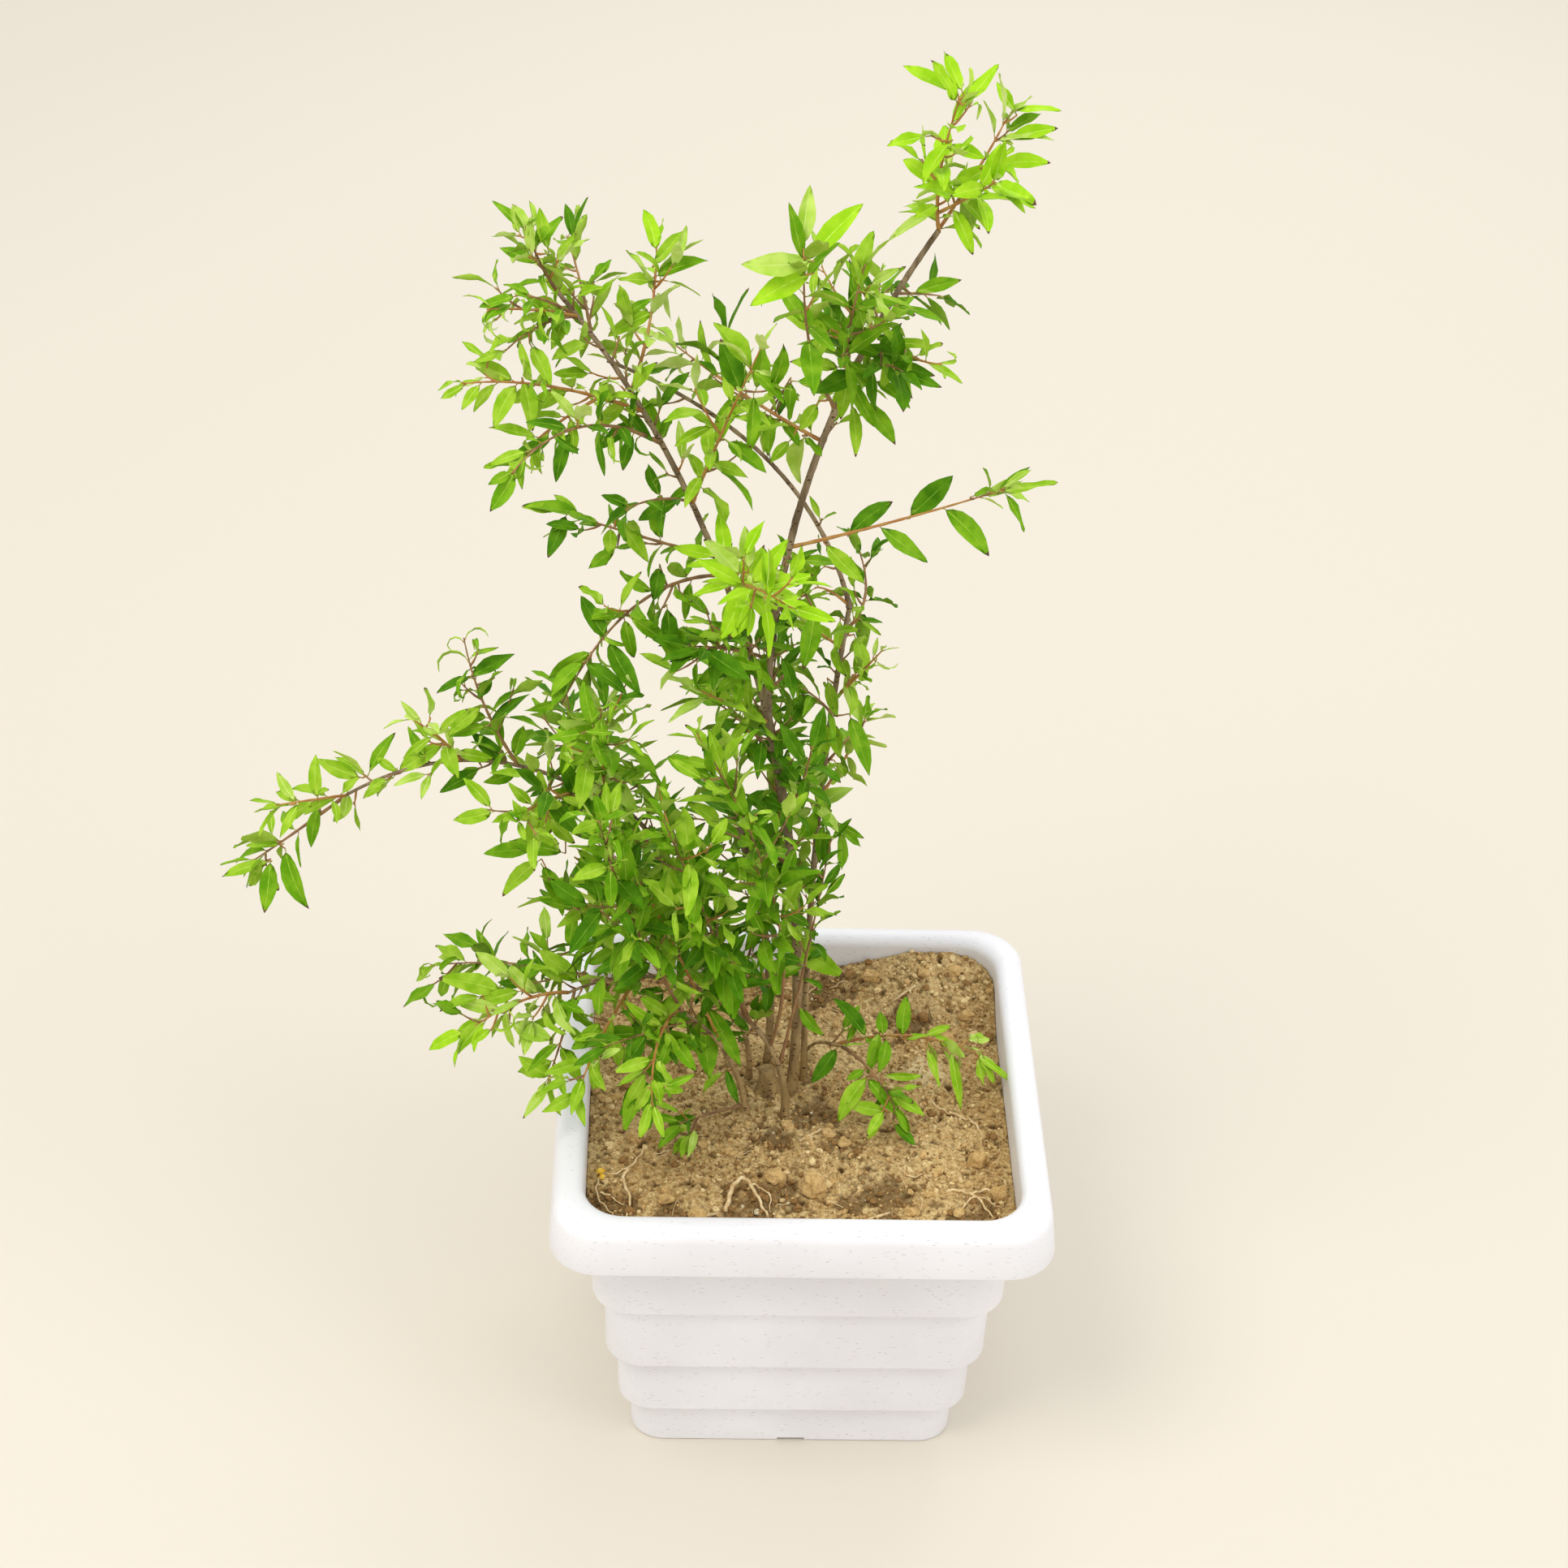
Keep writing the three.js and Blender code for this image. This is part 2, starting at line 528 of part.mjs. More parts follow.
for (const mass of masses) {
  const twigs = Array.from({ length: mass.twigs }, (_, order) => sideTwig(mass, order)).filter(Boolean);
  const first = Math.max(1, Math.ceil(mass.bare * mass.nodes));
  const leaves = leafPairs(mass, mass, first);
  for (const twig of twigs) leaves.push(...leafPairs(mass, twig, 1));
  let body = twigSolid(mass, TWIG.foot);
  for (const twig of twigs) body = body.add(twigSolid(twig, TWIG.side));
  for (const leaf of leaves) body = body.add(leafSolid(leaf));
  add(mass.name, geometryOf(cutClear(body)), mass.material);
}

export default shrub;
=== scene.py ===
# %% [markdown]
# # A young pomegranate shrub in a square stepped planter
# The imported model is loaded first. It is the fixed frame that every piece below is built
# around: the solids say where each stem starts and how far each leafy shoot reaches. Sizes
# are written in millimetres, as a grower would, and turned into metres where a mesh is made.

# %% Load the frame and keep its box
import json
import math

import bmesh
import bpy
import numpy as np
from mathutils import Matrix, Vector, kdtree, noise

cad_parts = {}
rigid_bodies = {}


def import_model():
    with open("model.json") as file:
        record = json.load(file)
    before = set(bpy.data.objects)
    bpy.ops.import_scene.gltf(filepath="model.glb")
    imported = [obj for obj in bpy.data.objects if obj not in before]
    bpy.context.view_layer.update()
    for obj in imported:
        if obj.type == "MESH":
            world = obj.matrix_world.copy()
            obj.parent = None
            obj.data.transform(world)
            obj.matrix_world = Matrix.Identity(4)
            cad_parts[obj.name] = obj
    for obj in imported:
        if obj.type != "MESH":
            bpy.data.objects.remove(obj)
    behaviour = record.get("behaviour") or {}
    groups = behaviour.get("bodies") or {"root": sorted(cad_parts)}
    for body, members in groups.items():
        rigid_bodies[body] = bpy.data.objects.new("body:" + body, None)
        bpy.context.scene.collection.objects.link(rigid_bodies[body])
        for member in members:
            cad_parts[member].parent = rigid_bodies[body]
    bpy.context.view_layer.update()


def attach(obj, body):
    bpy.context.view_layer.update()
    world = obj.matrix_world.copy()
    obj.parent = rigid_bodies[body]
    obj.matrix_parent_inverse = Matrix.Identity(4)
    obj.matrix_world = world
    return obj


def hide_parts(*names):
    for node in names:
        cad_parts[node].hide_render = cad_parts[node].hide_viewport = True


for leftover in list(bpy.data.objects):
    bpy.data.objects.remove(leftover)
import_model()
MM = 0.001

# %% [markdown]
# ## Camera
# The shrub is looked down on by a standing person, so the planter's sides run together
# towards the ground. The camera is placed by its own position and three angles, and the
# matrix is built from them, because a Track To would leave the slight roll out.

# %% Camera
CAMERA = {
    "place": (-82.43, -1474.06, 1488.65),
    "turned": -2.534,  # degrees about Z, from looking along +Y
    "down": 35.459,  # degrees below the horizon
    "roll": 2.439,
    "lens": 72.0,
    "sensor": 36.0,
}


def camera_matrix(place, turned, down, roll):
    turned, down, roll = (math.radians(angle) for angle in (turned, down, roll))
    right = Vector((math.cos(turned), math.sin(turned), 0))
    back = Vector(
        (math.sin(turned) * math.cos(down), -math.cos(turned) * math.cos(down), math.sin(down))
    )
    up = back.cross(right)
    side = right * math.cos(roll) + up * math.sin(roll)
    top = up * math.cos(roll) - right * math.sin(roll)
    turn = Matrix((side, top, back)).transposed().to_4x4()
    return Matrix.Translation(Vector(place) * MM) @ turn


def into_scene(name, data):
    """An object of a camera, a lamp or a mesh, at the origin."""
    made = bpy.data.objects.new(name, data)
    bpy.context.scene.collection.objects.link(made)
    return made


camera_data = bpy.data.cameras.new("camera")
camera_data.sensor_fit = "HORIZONTAL"
camera_data.sensor_width = CAMERA["sensor"]
camera_data.lens = CAMERA["lens"]
camera = into_scene("camera", camera_data)
camera.matrix_world = camera_matrix(
    CAMERA["place"], CAMERA["turned"], CAMERA["down"], CAMERA["roll"]
)
bpy.context.scene.camera = camera
print("camera at", [round(v, 3) for v in camera.location])

# %% [markdown]
# ## Places in the view
# Some things are easiest to place by where they show: the way a thin shoot runs, a clod, a
# leaf that stands clear of the rest. Such a place is a pixel, counted across and down from
# the top left of a view 1932 pixels wide. A pixel gives only a line of sight. How far along
# it the piece lies comes from a depth, from the soil or from the wood that carries it, so
# that the piece sits on its carrier when it is looked at from any other side.

# %% Lines of sight
VIEW = 1932
FOCAL = VIEW * CAMERA["lens"] / CAMERA["sensor"]  # the lens, in pixels of the view
VIEW_TURN = camera.matrix_world.to_3x3()
EYE, AHEAD = Vector(CAMERA["place"]), VIEW_TURN @ Vector((0, 0, -1))
RIM_FRONT = Vector((0, -150, 222))


def sight(px, py):
    """The way from the eye through a pixel, one millimetre deep."""
    return VIEW_TURN @ Vector(((px - VIEW / 2) / FOCAL, (VIEW / 2 - py) / FOCAL, -1))


def seen_at(px, py, axis, value):
    """The place that shows at a pixel and has a given x, y or z (axis 0, 1 or 2)."""
    way = sight(px, py)
    return EYE + way * ((value - EYE[axis]) / way[axis])


def pixel_of(point):
    """The pixel that a place shows at."""
    x, y, z = (point - EYE) @ VIEW_TURN
    return Vector((VIEW / 2 - FOCAL * x / z, VIEW / 2 + FOCAL * y / z))


print("middle of the rim's front shows at", [round(v) for v in pixel_of(RIM_FRONT)])

# %% [markdown]
# ## Floor and light
# The floor is one big pale disc. Its far edge shows only in low views, as a horizon. The
# light is that of a bright open sky: a white world from everywhere, and three large soft
# lamps, of which the key gives the leaves a sunny side. Large lamps give soft shadows.

# %% Floor, world and lamps
FLOOR = {"radius": 12.0, "colour": "#d9d1c2", "roughness": 0.9}
SKY = {"colour": (0.97, 0.98, 1.0, 1.0), "strength": 0.94}
LAMP_AIM = Vector((0, 0, 0.4))
LAMPS = {
    "key": {"place": (-1.3, -1.1, 2.9), "size": 1.5, "watts": 37.0, "colour": (1.0, 0.97, 0.9)},
    "fill": {"place": (1.8, -1.3, 2.5), "size": 2.0, "watts": 20.0, "colour": (0.97, 0.98, 1.0)},
    "back": {"place": (0.6, 2.4, 2.2), "size": 2.0, "watts": 18.0, "colour": (1.0, 0.98, 0.94)},
}


def srgb(code):
    """Turns a #rrggbb colour into the linear values that the shaders work in."""
    parts = [int(code[i : i + 2], 16) / 255 for i in (1, 3, 5)]
    linear = [p / 12.92 if p <= 0.04045 else ((p + 0.055) / 1.055) ** 2.4 for p in parts]
    return (*linear, 1.0)


def object_from(bm, name, *materials):
    """Makes an object at the origin from a bmesh, with its place in its mesh."""
    mesh = bpy.data.meshes.new(name)
    bm.to_mesh(mesh)
    bm.free()
    for material in materials:
        mesh.materials.append(material)
    return into_scene(name, mesh)


def lamp(name, place, size, watts, colour):
    data = bpy.data.lights.new(name, "AREA")
    data.shape = "DISK"
    data.size = size
    data.energy = watts
    data.color = colour
    light = into_scene(name, data)
    light.location = place
    light.rotation_euler = (LAMP_AIM - Vector(place)).to_track_quat("-Z", "Y").to_euler()


for name, settings in LAMPS.items():
    lamp(name, **settings)
world = bpy.data.worlds.new("sky")
world.use_nodes = True
sky = world.node_tree.nodes["Background"].inputs
sky["Color"].default_value = SKY["colour"]
sky["Strength"].default_value = SKY["strength"]
bpy.context.scene.world = world
bpy.context.scene.view_settings.view_transform = "Standard"

floor_material = bpy.data.materials.new("pale_floor")
floor_material.use_nodes = True
floor_shader = floor_material.node_tree.nodes["Principled BSDF"]
floor_shader.inputs["Base Color"].default_value = srgb(FLOOR["colour"])
floor_shader.inputs["Roughness"].default_value = FLOOR["roughness"]
bm = bmesh.new()
bmesh.ops.create_circle(bm, cap_ends=True, segments=96, radius=FLOOR["radius"])
floor = object_from(bm, "floor", floor_material)
print("lamps:", list(LAMPS), "floor radius:", FLOOR["radius"])

# %% [markdown]
# ## Shared finishes
# Three effects serve several materials, so each is a node group: mottling, which drifts
# between two colours as clay, bark and leaves do; grit, which is a height made of fine and
# coarse noise; and specks, which are short fine rods, for the fibres in the plastic and the
# dots on the bark. A group puts out only colours, masks and heights, and the shader itself
# stays in the material.

# %% Node helpers
MIX_INPUTS = (0, 6, 7)  # of a Mix node: the factor and the two colours


def feed(tree, sockets, values):
    """Links each socket to the node that its value comes from, or gives it a plain value."""
    for socket, value in zip(sockets, values):
        if isinstance(value, bpy.types.NodeSocket):
            tree.links.new(value, socket)
        else:
            socket.default_value = value


def add_node(tree, kind, **inputs):
    node = tree.nodes.new(kind)
    feed(tree, [node.inputs[name.replace("_", " ")] for name in inputs], inputs.values())
    return node


def new_group(name, inputs, outputs):
    tree = bpy.data.node_groups.new(name, "ShaderNodeTree")
    for side, sockets in (("INPUT", inputs), ("OUTPUT", outputs)):
        for label, kind in sockets.items():
            tree.interface.new_socket(name=label, in_out=side, socket_type="NodeSocket" + kind)
    entry = tree.nodes.new("NodeGroupInput")
    leave = tree.nodes.new("NodeGroupOutput")
    return tree, entry.outputs, leave.inputs


def mix_colours(tree, factor, first, second):
    node = tree.nodes.new("ShaderNodeMix")
    node.data_type = "RGBA"
    feed(tree, [node.inputs[i] for i in MIX_INPUTS], (factor, first, second))
    return node.outputs[2]


def spread(tree, value, low, high):
    """Stretches the part of a value between low and high over 0 to 1."""
    node = add_node(tree, "ShaderNodeMapRange", Value=value, From_Min=low, From_Max=high)
    return node.outputs["Result"]


def join_values(tree, operation, *values):
    """A Math node, fed with sockets or plain numbers."""
    node = tree.nodes.new("ShaderNodeMath")
    node.operation = operation
    feed(tree, node.inputs, values)
    return node.outputs[0]


# %% Node groups
MOTTLE = {"detail": 5.0, "from": 0.36, "to": 0.64}
GRIT = {"detail": 4.0, "grains": 0.5}
SPECK_CELLS = (80.0, 760.0, 760.0)  # in a metre: a speck is long one way and fine the others

mottle, given, made = new_group(
    "mottle",
    {"Vector": "Vector", "Scale": "Float", "First": "Color", "Second": "Color"},
    {"Colour": "Color", "Mask": "Float"},
)
cloud = add_node(
    mottle, "ShaderNodeTexNoise", Vector=given["Vector"], Scale=given["Scale"],
    Detail=MOTTLE["detail"],
)
mask = spread(mottle, cloud.outputs["Fac"], MOTTLE["from"], MOTTLE["to"])
mottle.links.new(mix_colours(mottle, mask, given["First"], given["Second"]), made["Colour"])
mottle.links.new(mask, made["Mask"])

grit, given, made = new_group(
    "grit", {"Vector": "Vector", "Coarse": "Float", "Fine": "Float"}, {"Height": "Float"}
)
lumps = add_node(grit, "ShaderNodeTexNoise", Vector=given["Vector"], Scale=given["Coarse"])
grains = add_node(
    grit, "ShaderNodeTexNoise", Vector=given["Vector"], Scale=given["Fine"],
    Detail=GRIT["detail"],
)
height = join_values(
    grit, "MULTIPLY_ADD", grains.outputs["Fac"], GRIT["grains"], lumps.outputs["Fac"]
)
grit.links.new(height, made["Height"])

specks, given, made = new_group(
    "specks",
    {"Vector": "Vector", "Turn": "Vector", "Size": "Float", "Share": "Float"},
    {"Mask": "Float"},
)
# A point in every cell of a stretched grid. Near it the mask is on, so a speck is a fine rod.
lie = add_node(specks, "ShaderNodeMapping", Vector=given["Vector"], Rotation=given["Turn"])
lie.inputs["Scale"].default_value = SPECK_CELLS
cells = add_node(specks, "ShaderNodeTexVoronoi", Vector=lie.outputs["Vector"], Scale=1.0)
near = join_values(specks, "LESS_THAN", cells.outputs["Distance"], given["Size"])
parts = add_node(specks, "ShaderNodeSeparateColor", Color=cells.outputs["Color"])
chosen = join_values(specks, "LESS_THAN", parts.outputs[0], given["Share"])
specks.links.new(join_values(specks, "MULTIPLY", near, chosen), made["Mask"])
print("node groups:", [g.name for g in bpy.data.node_groups])


# %% Materials from the groups
def new_material(name, roughness, **sockets):
    material = bpy.data.materials.new(name)
    material.use_nodes = True
    shader = material.node_tree.nodes["Principled BSDF"]
    shader.inputs["Roughness"].default_value = roughness
    for label, value in sockets.items():
        shader.inputs[label.replace("_", " ")].default_value = value
    return material, material.node_tree, shader


def place_vector(tree, scale=(1, 1, 1)):
    """Object coordinates, drawn out along an axis where its scale is small."""
    place = tree.nodes.new("ShaderNodeTexCoord")
    mapping = add_node(tree, "ShaderNodeMapping", Vector=place.outputs["Object"], Scale=scale)
    return mapping.outputs["Vector"]


def use_group(tree, group, **inputs):
    node = tree.nodes.new("ShaderNodeGroup")
    node.node_tree = group
    feed(tree, [node.inputs[name] for name in inputs], inputs.values())
    return node.outputs


def bump(tree, shader, height, distance, strength=1.0):
    node = add_node(tree, "ShaderNodeBump", Strength=strength, Distance=distance, Height=height)
    tree.links.new(node.outputs["Normal"], shader.inputs["Normal"])


def mottled(name, first, second, scale, roughness, grain, depth, stretch=(1, 1, 1), **sockets):
    """A material that drifts between two colours and has a fine relief."""
    material, tree, shader = new_material(name, roughness, **sockets)
    where = place_vector(tree, stretch)
    colour = use_group(
        tree, mottle, Vector=where, Scale=scale, First=srgb(first), Second=srgb(second)
    )
    tree.links.new(colour["Colour"], shader.inputs["Base Color"])
    height = use_group(tree, grit, Vector=where, Coarse=grain / 4, Fine=grain)
    bump(tree, shader, height["Height"], depth)
    return material


# %% [markdown]
# ## Planter
# The real one is moulded in one shot of white plastic: four steps that widen upwards, and a
# broad lip folded over at the top. A rounded square is drawn once and its edge is extruded
# from height to height, widened or narrowed each time, so the whole wall is one skin. A
# boolean then takes out the small drain notches in the foot.

# %% Planter profile
PLANTER = {
    "height": 222.0,
    "wall": 3.0,
    "floor": 4.0,
    "lean": 0.8,
    "edge": 1.6,
    "corner": 0.2,
    "corner_steps": 10,
    "sharp": 38,  # degrees, from which an edge is shaded as sharp
    "tiers": [(101.0, 0.0), (109.0, 35.0), (117.0, 80.5), (125.0, 133.0), (132.5, 178.0)],
    "rim": {
        "half": 150.0, "foot": 189.5, "draft": 2.5, "band": 20.5, "roll": 10.0, "inner": 6.5,
        "inside_edge": 0.6, "outside_edge": 1.2,
    },
    "notch": (17.0, 2.6, 8.0),  # width, height and depth
}


def arc(centre, radius, start, end, steps):
    """Points on part of a circle, in degrees, as (half width, height)."""
    angles = [math.radians(start + (end - start) * i / steps) for i in range(steps + 1)]
    return [(centre[0] + radius * math.cos(a), centre[1] + radius * math.sin(a)) for a in angles]


def outside_profile():
    edge, lean, tiers, rim = (PLANTER[k] for k in ("edge", "lean", "tiers", "rim"))
    wall, height = PLANTER["wall"], PLANTER["height"]
    points = []
    for i, (half, foot) in enumerate(tiers):
        top = tiers[i + 1][1] if i + 1 < len(tiers) else height - wall
        points += arc((half - edge, foot + edge), edge, -90, 0, 4)
        points.append((half + lean, top))
    half, foot, inside, outside = (rim[k] for k in ("half", "foot", "inside_edge", "outside_edge"))
    points += [(half - wall - rim["draft"], height - wall), (half - wall, foot + inside)]
    points += arc((half - wall + inside, foot + inside), inside, 180, 270, 2)
    points += arc((half - outside, foot + outside), outside, -90, 0, 3)
    outer = (half - rim["draft"] - rim["roll"], height - rim["roll"])
    inner = (half - rim["band"] + rim["inner"], height - rim["inner"])
    return points + arc(outer, rim["roll"], 4, 90, 8) + arc(inner, rim["inner"], 90, 180, 6)


def inside_profile():
    wall, lean, tiers = PLANTER["wall"], PLANTER["lean"], PLANTER["tiers"]
    points = []
    for i, (half, foot) in enumerate(tiers):
        points.append((half - wall, (foot + wall) if i else PLANTER["floor"]))
        if i + 1 < len(tiers):
            points.append((half + lean - wall, tiers[i + 1][1] + wall))
    return points[::-1]


print("profile points:", len(outside_profile()) + len(inside_profile()))


# %% Planter shell
def rounded_square(bm, half, corner):
    """One flat face with rounded corners, looking down."""
    bmesh.ops.create_grid(bm, x_segments=1, y_segments=1, size=half)
    bmesh.ops.bevel(
        bm, geom=bm.verts[:], offset=half * corner, segments=PLANTER["corner_steps"],
        profile=0.5, affect="VERTICES", material=-1,
    )
    bmesh.ops.reverse_faces(bm, faces=bm.faces[:])
    return bm.edges[:]


def grow_edge(bm, edges):
    """Extrudes a closed edge. Gives the new vertices and the new edge."""
    grown = bmesh.ops.extrude_edge_only(bm, edges=edges)["geom"]
    verts = [g for g in grown if isinstance(g, bmesh.types.BMVert)]
    lines = [g for g in grown if isinstance(g, bmesh.types.BMEdge)]
    return verts, [line for line in lines if all(vert in verts for vert in line.verts)]


def pull_edge(bm, edges, half, new_half, rise):
    """Extrudes a closed edge, then widens and lifts the new one."""
    verts, new_edges = grow_edge(bm, edges)
    size = new_half / half
    bmesh.ops.scale(bm, vec=(size, size, 1), verts=verts)
    bmesh.ops.translate(bm, vec=(0, 0, rise), verts=verts)
    return new_edges


def planter_shell():
    bm = bmesh.new()
    path = outside_profile() + inside_profile()
    half, height = path[0]
    edges = rounded_square(bm, half, PLANTER["corner"])
    for new_half, new_height in path[1:]:
        edges = pull_edge(bm, edges, half, new_half, new_height - height)
        half, height = new_half, new_height
    bmesh.ops.edgeloop_fill(bm, edges=edges)
    bmesh.ops.scale(bm, vec=(MM, MM, MM), verts=bm.verts[:])
    bmesh.ops.recalc_face_normals(bm, faces=bm.faces[:])
    return bm


def notch_cutter():
    width, height, depth = PLANTER["notch"]
    bm = bmesh.new()
    for turn in range(4):
        block = bmesh.ops.create_cube(bm, size=1)["verts"]
        bmesh.ops.scale(bm, vec=(width * MM, 2 * depth * MM, 2 * height * MM), verts=block)
        bmesh.ops.translate(bm, vec=(0, PLANTER["tiers"][0][0] * MM, 0), verts=block)
        quarter = Matrix.Rotation(turn * math.pi / 2, 3, "Z")
        bmesh.ops.rotate(bm, cent=(0, 0, 0), matrix=quarter, verts=block)
    return object_from(bm, "notch_cutter")


def bake_modifiers(piece):
    """Keeps the mesh that the modifiers make, and drops the modifiers."""
    graph = bpy.context.evaluated_depsgraph_get()
    finished = bpy.data.meshes.new_from_object(piece.evaluated_get(graph))
    piece.modifiers.clear()
    piece.data = finished


# %% Planter plastic
plastic, tree, shader = new_material("white_plastic", 0.42, Specular_IOR_Level=0.45)
where = place_vector(tree)
drift = use_group(
    tree, mottle, Vector=where, Scale=9.0, First=srgb("#edecef"), Second=srgb("#e5e3e6")
)
colour = drift["Colour"]
FLECKS = [  # how they lie, how long, how many of the cells hold one, colour
    ((0.5, 0.9, 0.2), 0.085, 0.15, "#8d8f98"), ((1.1, 0.3, 1.4), 0.085, 0.15, "#8d8f98"),
    ((0.2, 1.3, 2.3), 0.085, 0.15, "#8d8f98"), ((0.9, 2.1, 0.7), 0.12, 0.45, "#c2c2ca"),
    ((1.9, 0.6, 1.1), 0.12, 0.45, "#c8c2be"),
]
for turn, size, share, shade in FLECKS:
    fibres = use_group(tree, specks, Vector=where, Turn=turn, Size=size, Share=share)
    colour = mix_colours(tree, fibres["Mask"], colour, srgb(shade))
tree.links.new(colour, shader.inputs["Base Color"])
skin = use_group(tree, grit, Vector=where, Coarse=120.0, Fine=900.0)
bump(tree, shader, skin["Height"], 0.00012)

planter = object_from(planter_shell(), "planter_shell", plastic)
cutter = notch_cutter()
notches = planter.modifiers.new("notches", "BOOLEAN")
notches.operation = "DIFFERENCE"
notches.solver = "EXACT"
notches.object = cutter
bake_modifiers(planter)
bpy.data.objects.remove(cutter)
planter.data.shade_smooth()
planter.data.set_sharp_from_angle(angle=math.radians(PLANTER["sharp"]))
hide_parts("planter")
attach(planter, "root")
print("planter faces:", len(planter.data.polygons))

# %% [markdown]
# ## Soil
# Dry clay that has been watered and has crusted: a fairly level bed, a low crown round the
# stems, a heap at the back right, and crumbs and clods of every size lying on it. The bed is
# a fine grid lifted by layered noise, with a few named humps and damp hollows where the real
# bed has them. How damp, how raised and how pale each point is goes into attributes that the
# material reads. The material paints shade where the relief is low, between the clods.

# %% Soil bed
SOIL = {
    "level": 191.0, "crown": 195.0, "crown_ends": (47, 92), "half": 129.4, "depth": 60.0,
    "taper": 0.86, "cells": 230,
}
MOUND = {"from": 65.0, "high": 4.5, "slope": 0.15, "highest": 24.0}
HUMPS = [  # x, y, radius and height
    (81, 30, 30, 4.5), (-62, -48, 34, 2.0), (84, 104, 26, 4.0), (28, 96, 18, 2.5),
    (8, -79, 12, 2.5), (72, 124, 46, 6.0), (128, 122, 32, -6.0),
]
PALE = (81, 30, 17)  # x, y and radius of the one pale lump
PALE_CORE = 0.4
DAMP = [  # x, y and radius
    (45, -84, 20), (-28, -96, 22), (20, 104, 20), (-112, -96, 18), (10, -14, 15), (70, 78, 16),
    (-8, -76, 16), (24, -40, 12), (-18, -34, 14), (100, -100, 14), (-78, -100, 14),
]
DAMP_ENDS = (0.5, 1.15)  # shares of its radius where a hollow begins to dry and is dry
NOISE = {  # which slice of the noise, and how large its lumps are
    "broad": (3, 34), "lumps": (9, 14), "ragged": (5, 11), "frayed": (8, 3), "clods": (21, 7),
    "grains": (40, 2.9), "bare": (70, 30),
}
RAGGED = {"ragged": 0.9, "frayed": 0.5}
FINE = {"crease": 2.4, "clods": 0.6, "grains": 0.9}
RELIEF = {"broad": 1.4, "lumps": 1.4, "smooth": 1.0, "rough": 1.3, "damp": 1.2}
ROUGH_ENDS = (-0.3, 0.25)
EDGE = {"width": 2, "flatter": 0.5}  # the strip along the wall, where the relief is lower


def smoothstep(value, low, high):
    t = min(max((value - low) / (high - low), 0.0), 1.0)
    return t * t * (3 - 2 * t)


def ground_height(x, y):
    """Height of the soil in millimetres, without its relief."""
    away = max(abs(x), abs(y))
    crown = (SOIL["crown"] - SOIL["level"]) * (1 - smoothstep(away, *SOIL["crown_ends"]))
    back = smoothstep(y, MOUND["from"], SOIL["half"])
    heap = min(max(MOUND["high"] + MOUND["slope"] * x, 0), MOUND["highest"])
    return SOIL["level"] + crown + back * heap


def over_soil(kind, x, y):
    """Smooth noise over the soil, from about -1 to 1."""
    cut, size = NOISE[kind]
    return noise.noise(Vector((x, y, cut)) / size)


def dampness(x, y):
    """From 0 on dry crust to 1 in the crumbly, darker hollows."""
    ragged = RAGGED["ragged"] * over_soil("ragged", x, y)
    ragged += RAGGED["frayed"] * over_soil("frayed", x, y)
    shares = (math.hypot(x - px, y - py) / size + ragged for px, py, size in DAMP)
    return max(1 - smoothstep(share, *DAMP_ENDS) for share in shares)


def fine_relief(x, y):
    """Clods and grains, from about -1 to 1."""
    clods = 1 - FINE["crease"] * abs(over_soil("clods", x, y))
    return FINE["clods"] * clods + FINE["grains"] * over_soil("grains", x, y)


def soil_relief(x, y):
    """Humps, lumps, clods and grains, in millimetres."""
    humps = sum(
        high * (1 - smoothstep(math.hypot(x - px, y - py), 0, size))
        for px, py, size, high in HUMPS
    )
    broad = RELIEF["broad"] * over_soil("broad", x, y)
    lumps = RELIEF["lumps"] * over_soil("lumps", x, y)
    rough = RELIEF["smooth"] + RELIEF["rough"] * smoothstep(over_soil("bare", x, y), *ROUGH_ENDS)
    return humps + broad + lumps + rough * fine_relief(x, y) - RELIEF["damp"] * dampness(x, y)


def soil_top(x, y):
    ends = SOIL["half"] - EDGE["width"], SOIL["half"] + EDGE["width"]
    edge = smoothstep(max(abs(x), abs(y)), *ends)
    return ground_height(x, y) + soil_relief(x, y) * (1 - EDGE["flatter"] * edge)


def into_rounded_square(x, y, half, radius):
    """Moves a point of a square into the same square with rounded corners."""
    dx, dy = abs(x) - (half - radius), abs(y) - (half - radius)
    if dx <= 0 or dy <= 0:
        return x, y
    pull = max(dx, dy) / math.hypot(dx, dy)
    return (
        math.copysign(half - radius + dx * pull, x),
        math.copysign(half - radius + dy * pull, y),
    )


def soil_bed():
    bm = bmesh.new()
    half, taper = SOIL["half"], SOIL["taper"]
    bmesh.ops.create_grid(bm, x_segments=SOIL["cells"], y_segments=SOIL["cells"], size=half)
    damp = bm.verts.layers.float.new("damp")
    raised = bm.verts.layers.float.new("raised")
    pale = bm.verts.layers.float.new("pale")
    for vert in bm.verts:
        x, y = into_rounded_square(vert.co.x, vert.co.y, half, half * PLANTER["corner"])
        vert.co = (x, y, soil_top(x, y))
        vert[damp] = dampness(x, y)
        vert[raised] = 0.5 + 0.5 * fine_relief(x, y)
        away = math.hypot(x - PALE[0], y - PALE[1])
        vert[pale] = 1 - smoothstep(away, PALE_CORE * PALE[2], PALE[2])
    rim = [edge for edge in bm.edges if edge.is_boundary]
    edges = pull_edge(bm, rim, 1, 1, -SOIL["depth"])
    for vert in {vert for edge in edges for vert in edge.verts}:
        vert.co = (vert.co.x * taper, vert.co.y * taper, SOIL["level"] - SOIL["depth"])
    bmesh.ops.edgeloop_fill(bm, edges=edges)
    bmesh.ops.scale(bm, vec=(MM, MM, MM), verts=bm.verts[:])
    bmesh.ops.recalc_face_normals(bm, faces=bm.faces[:])
    return bm


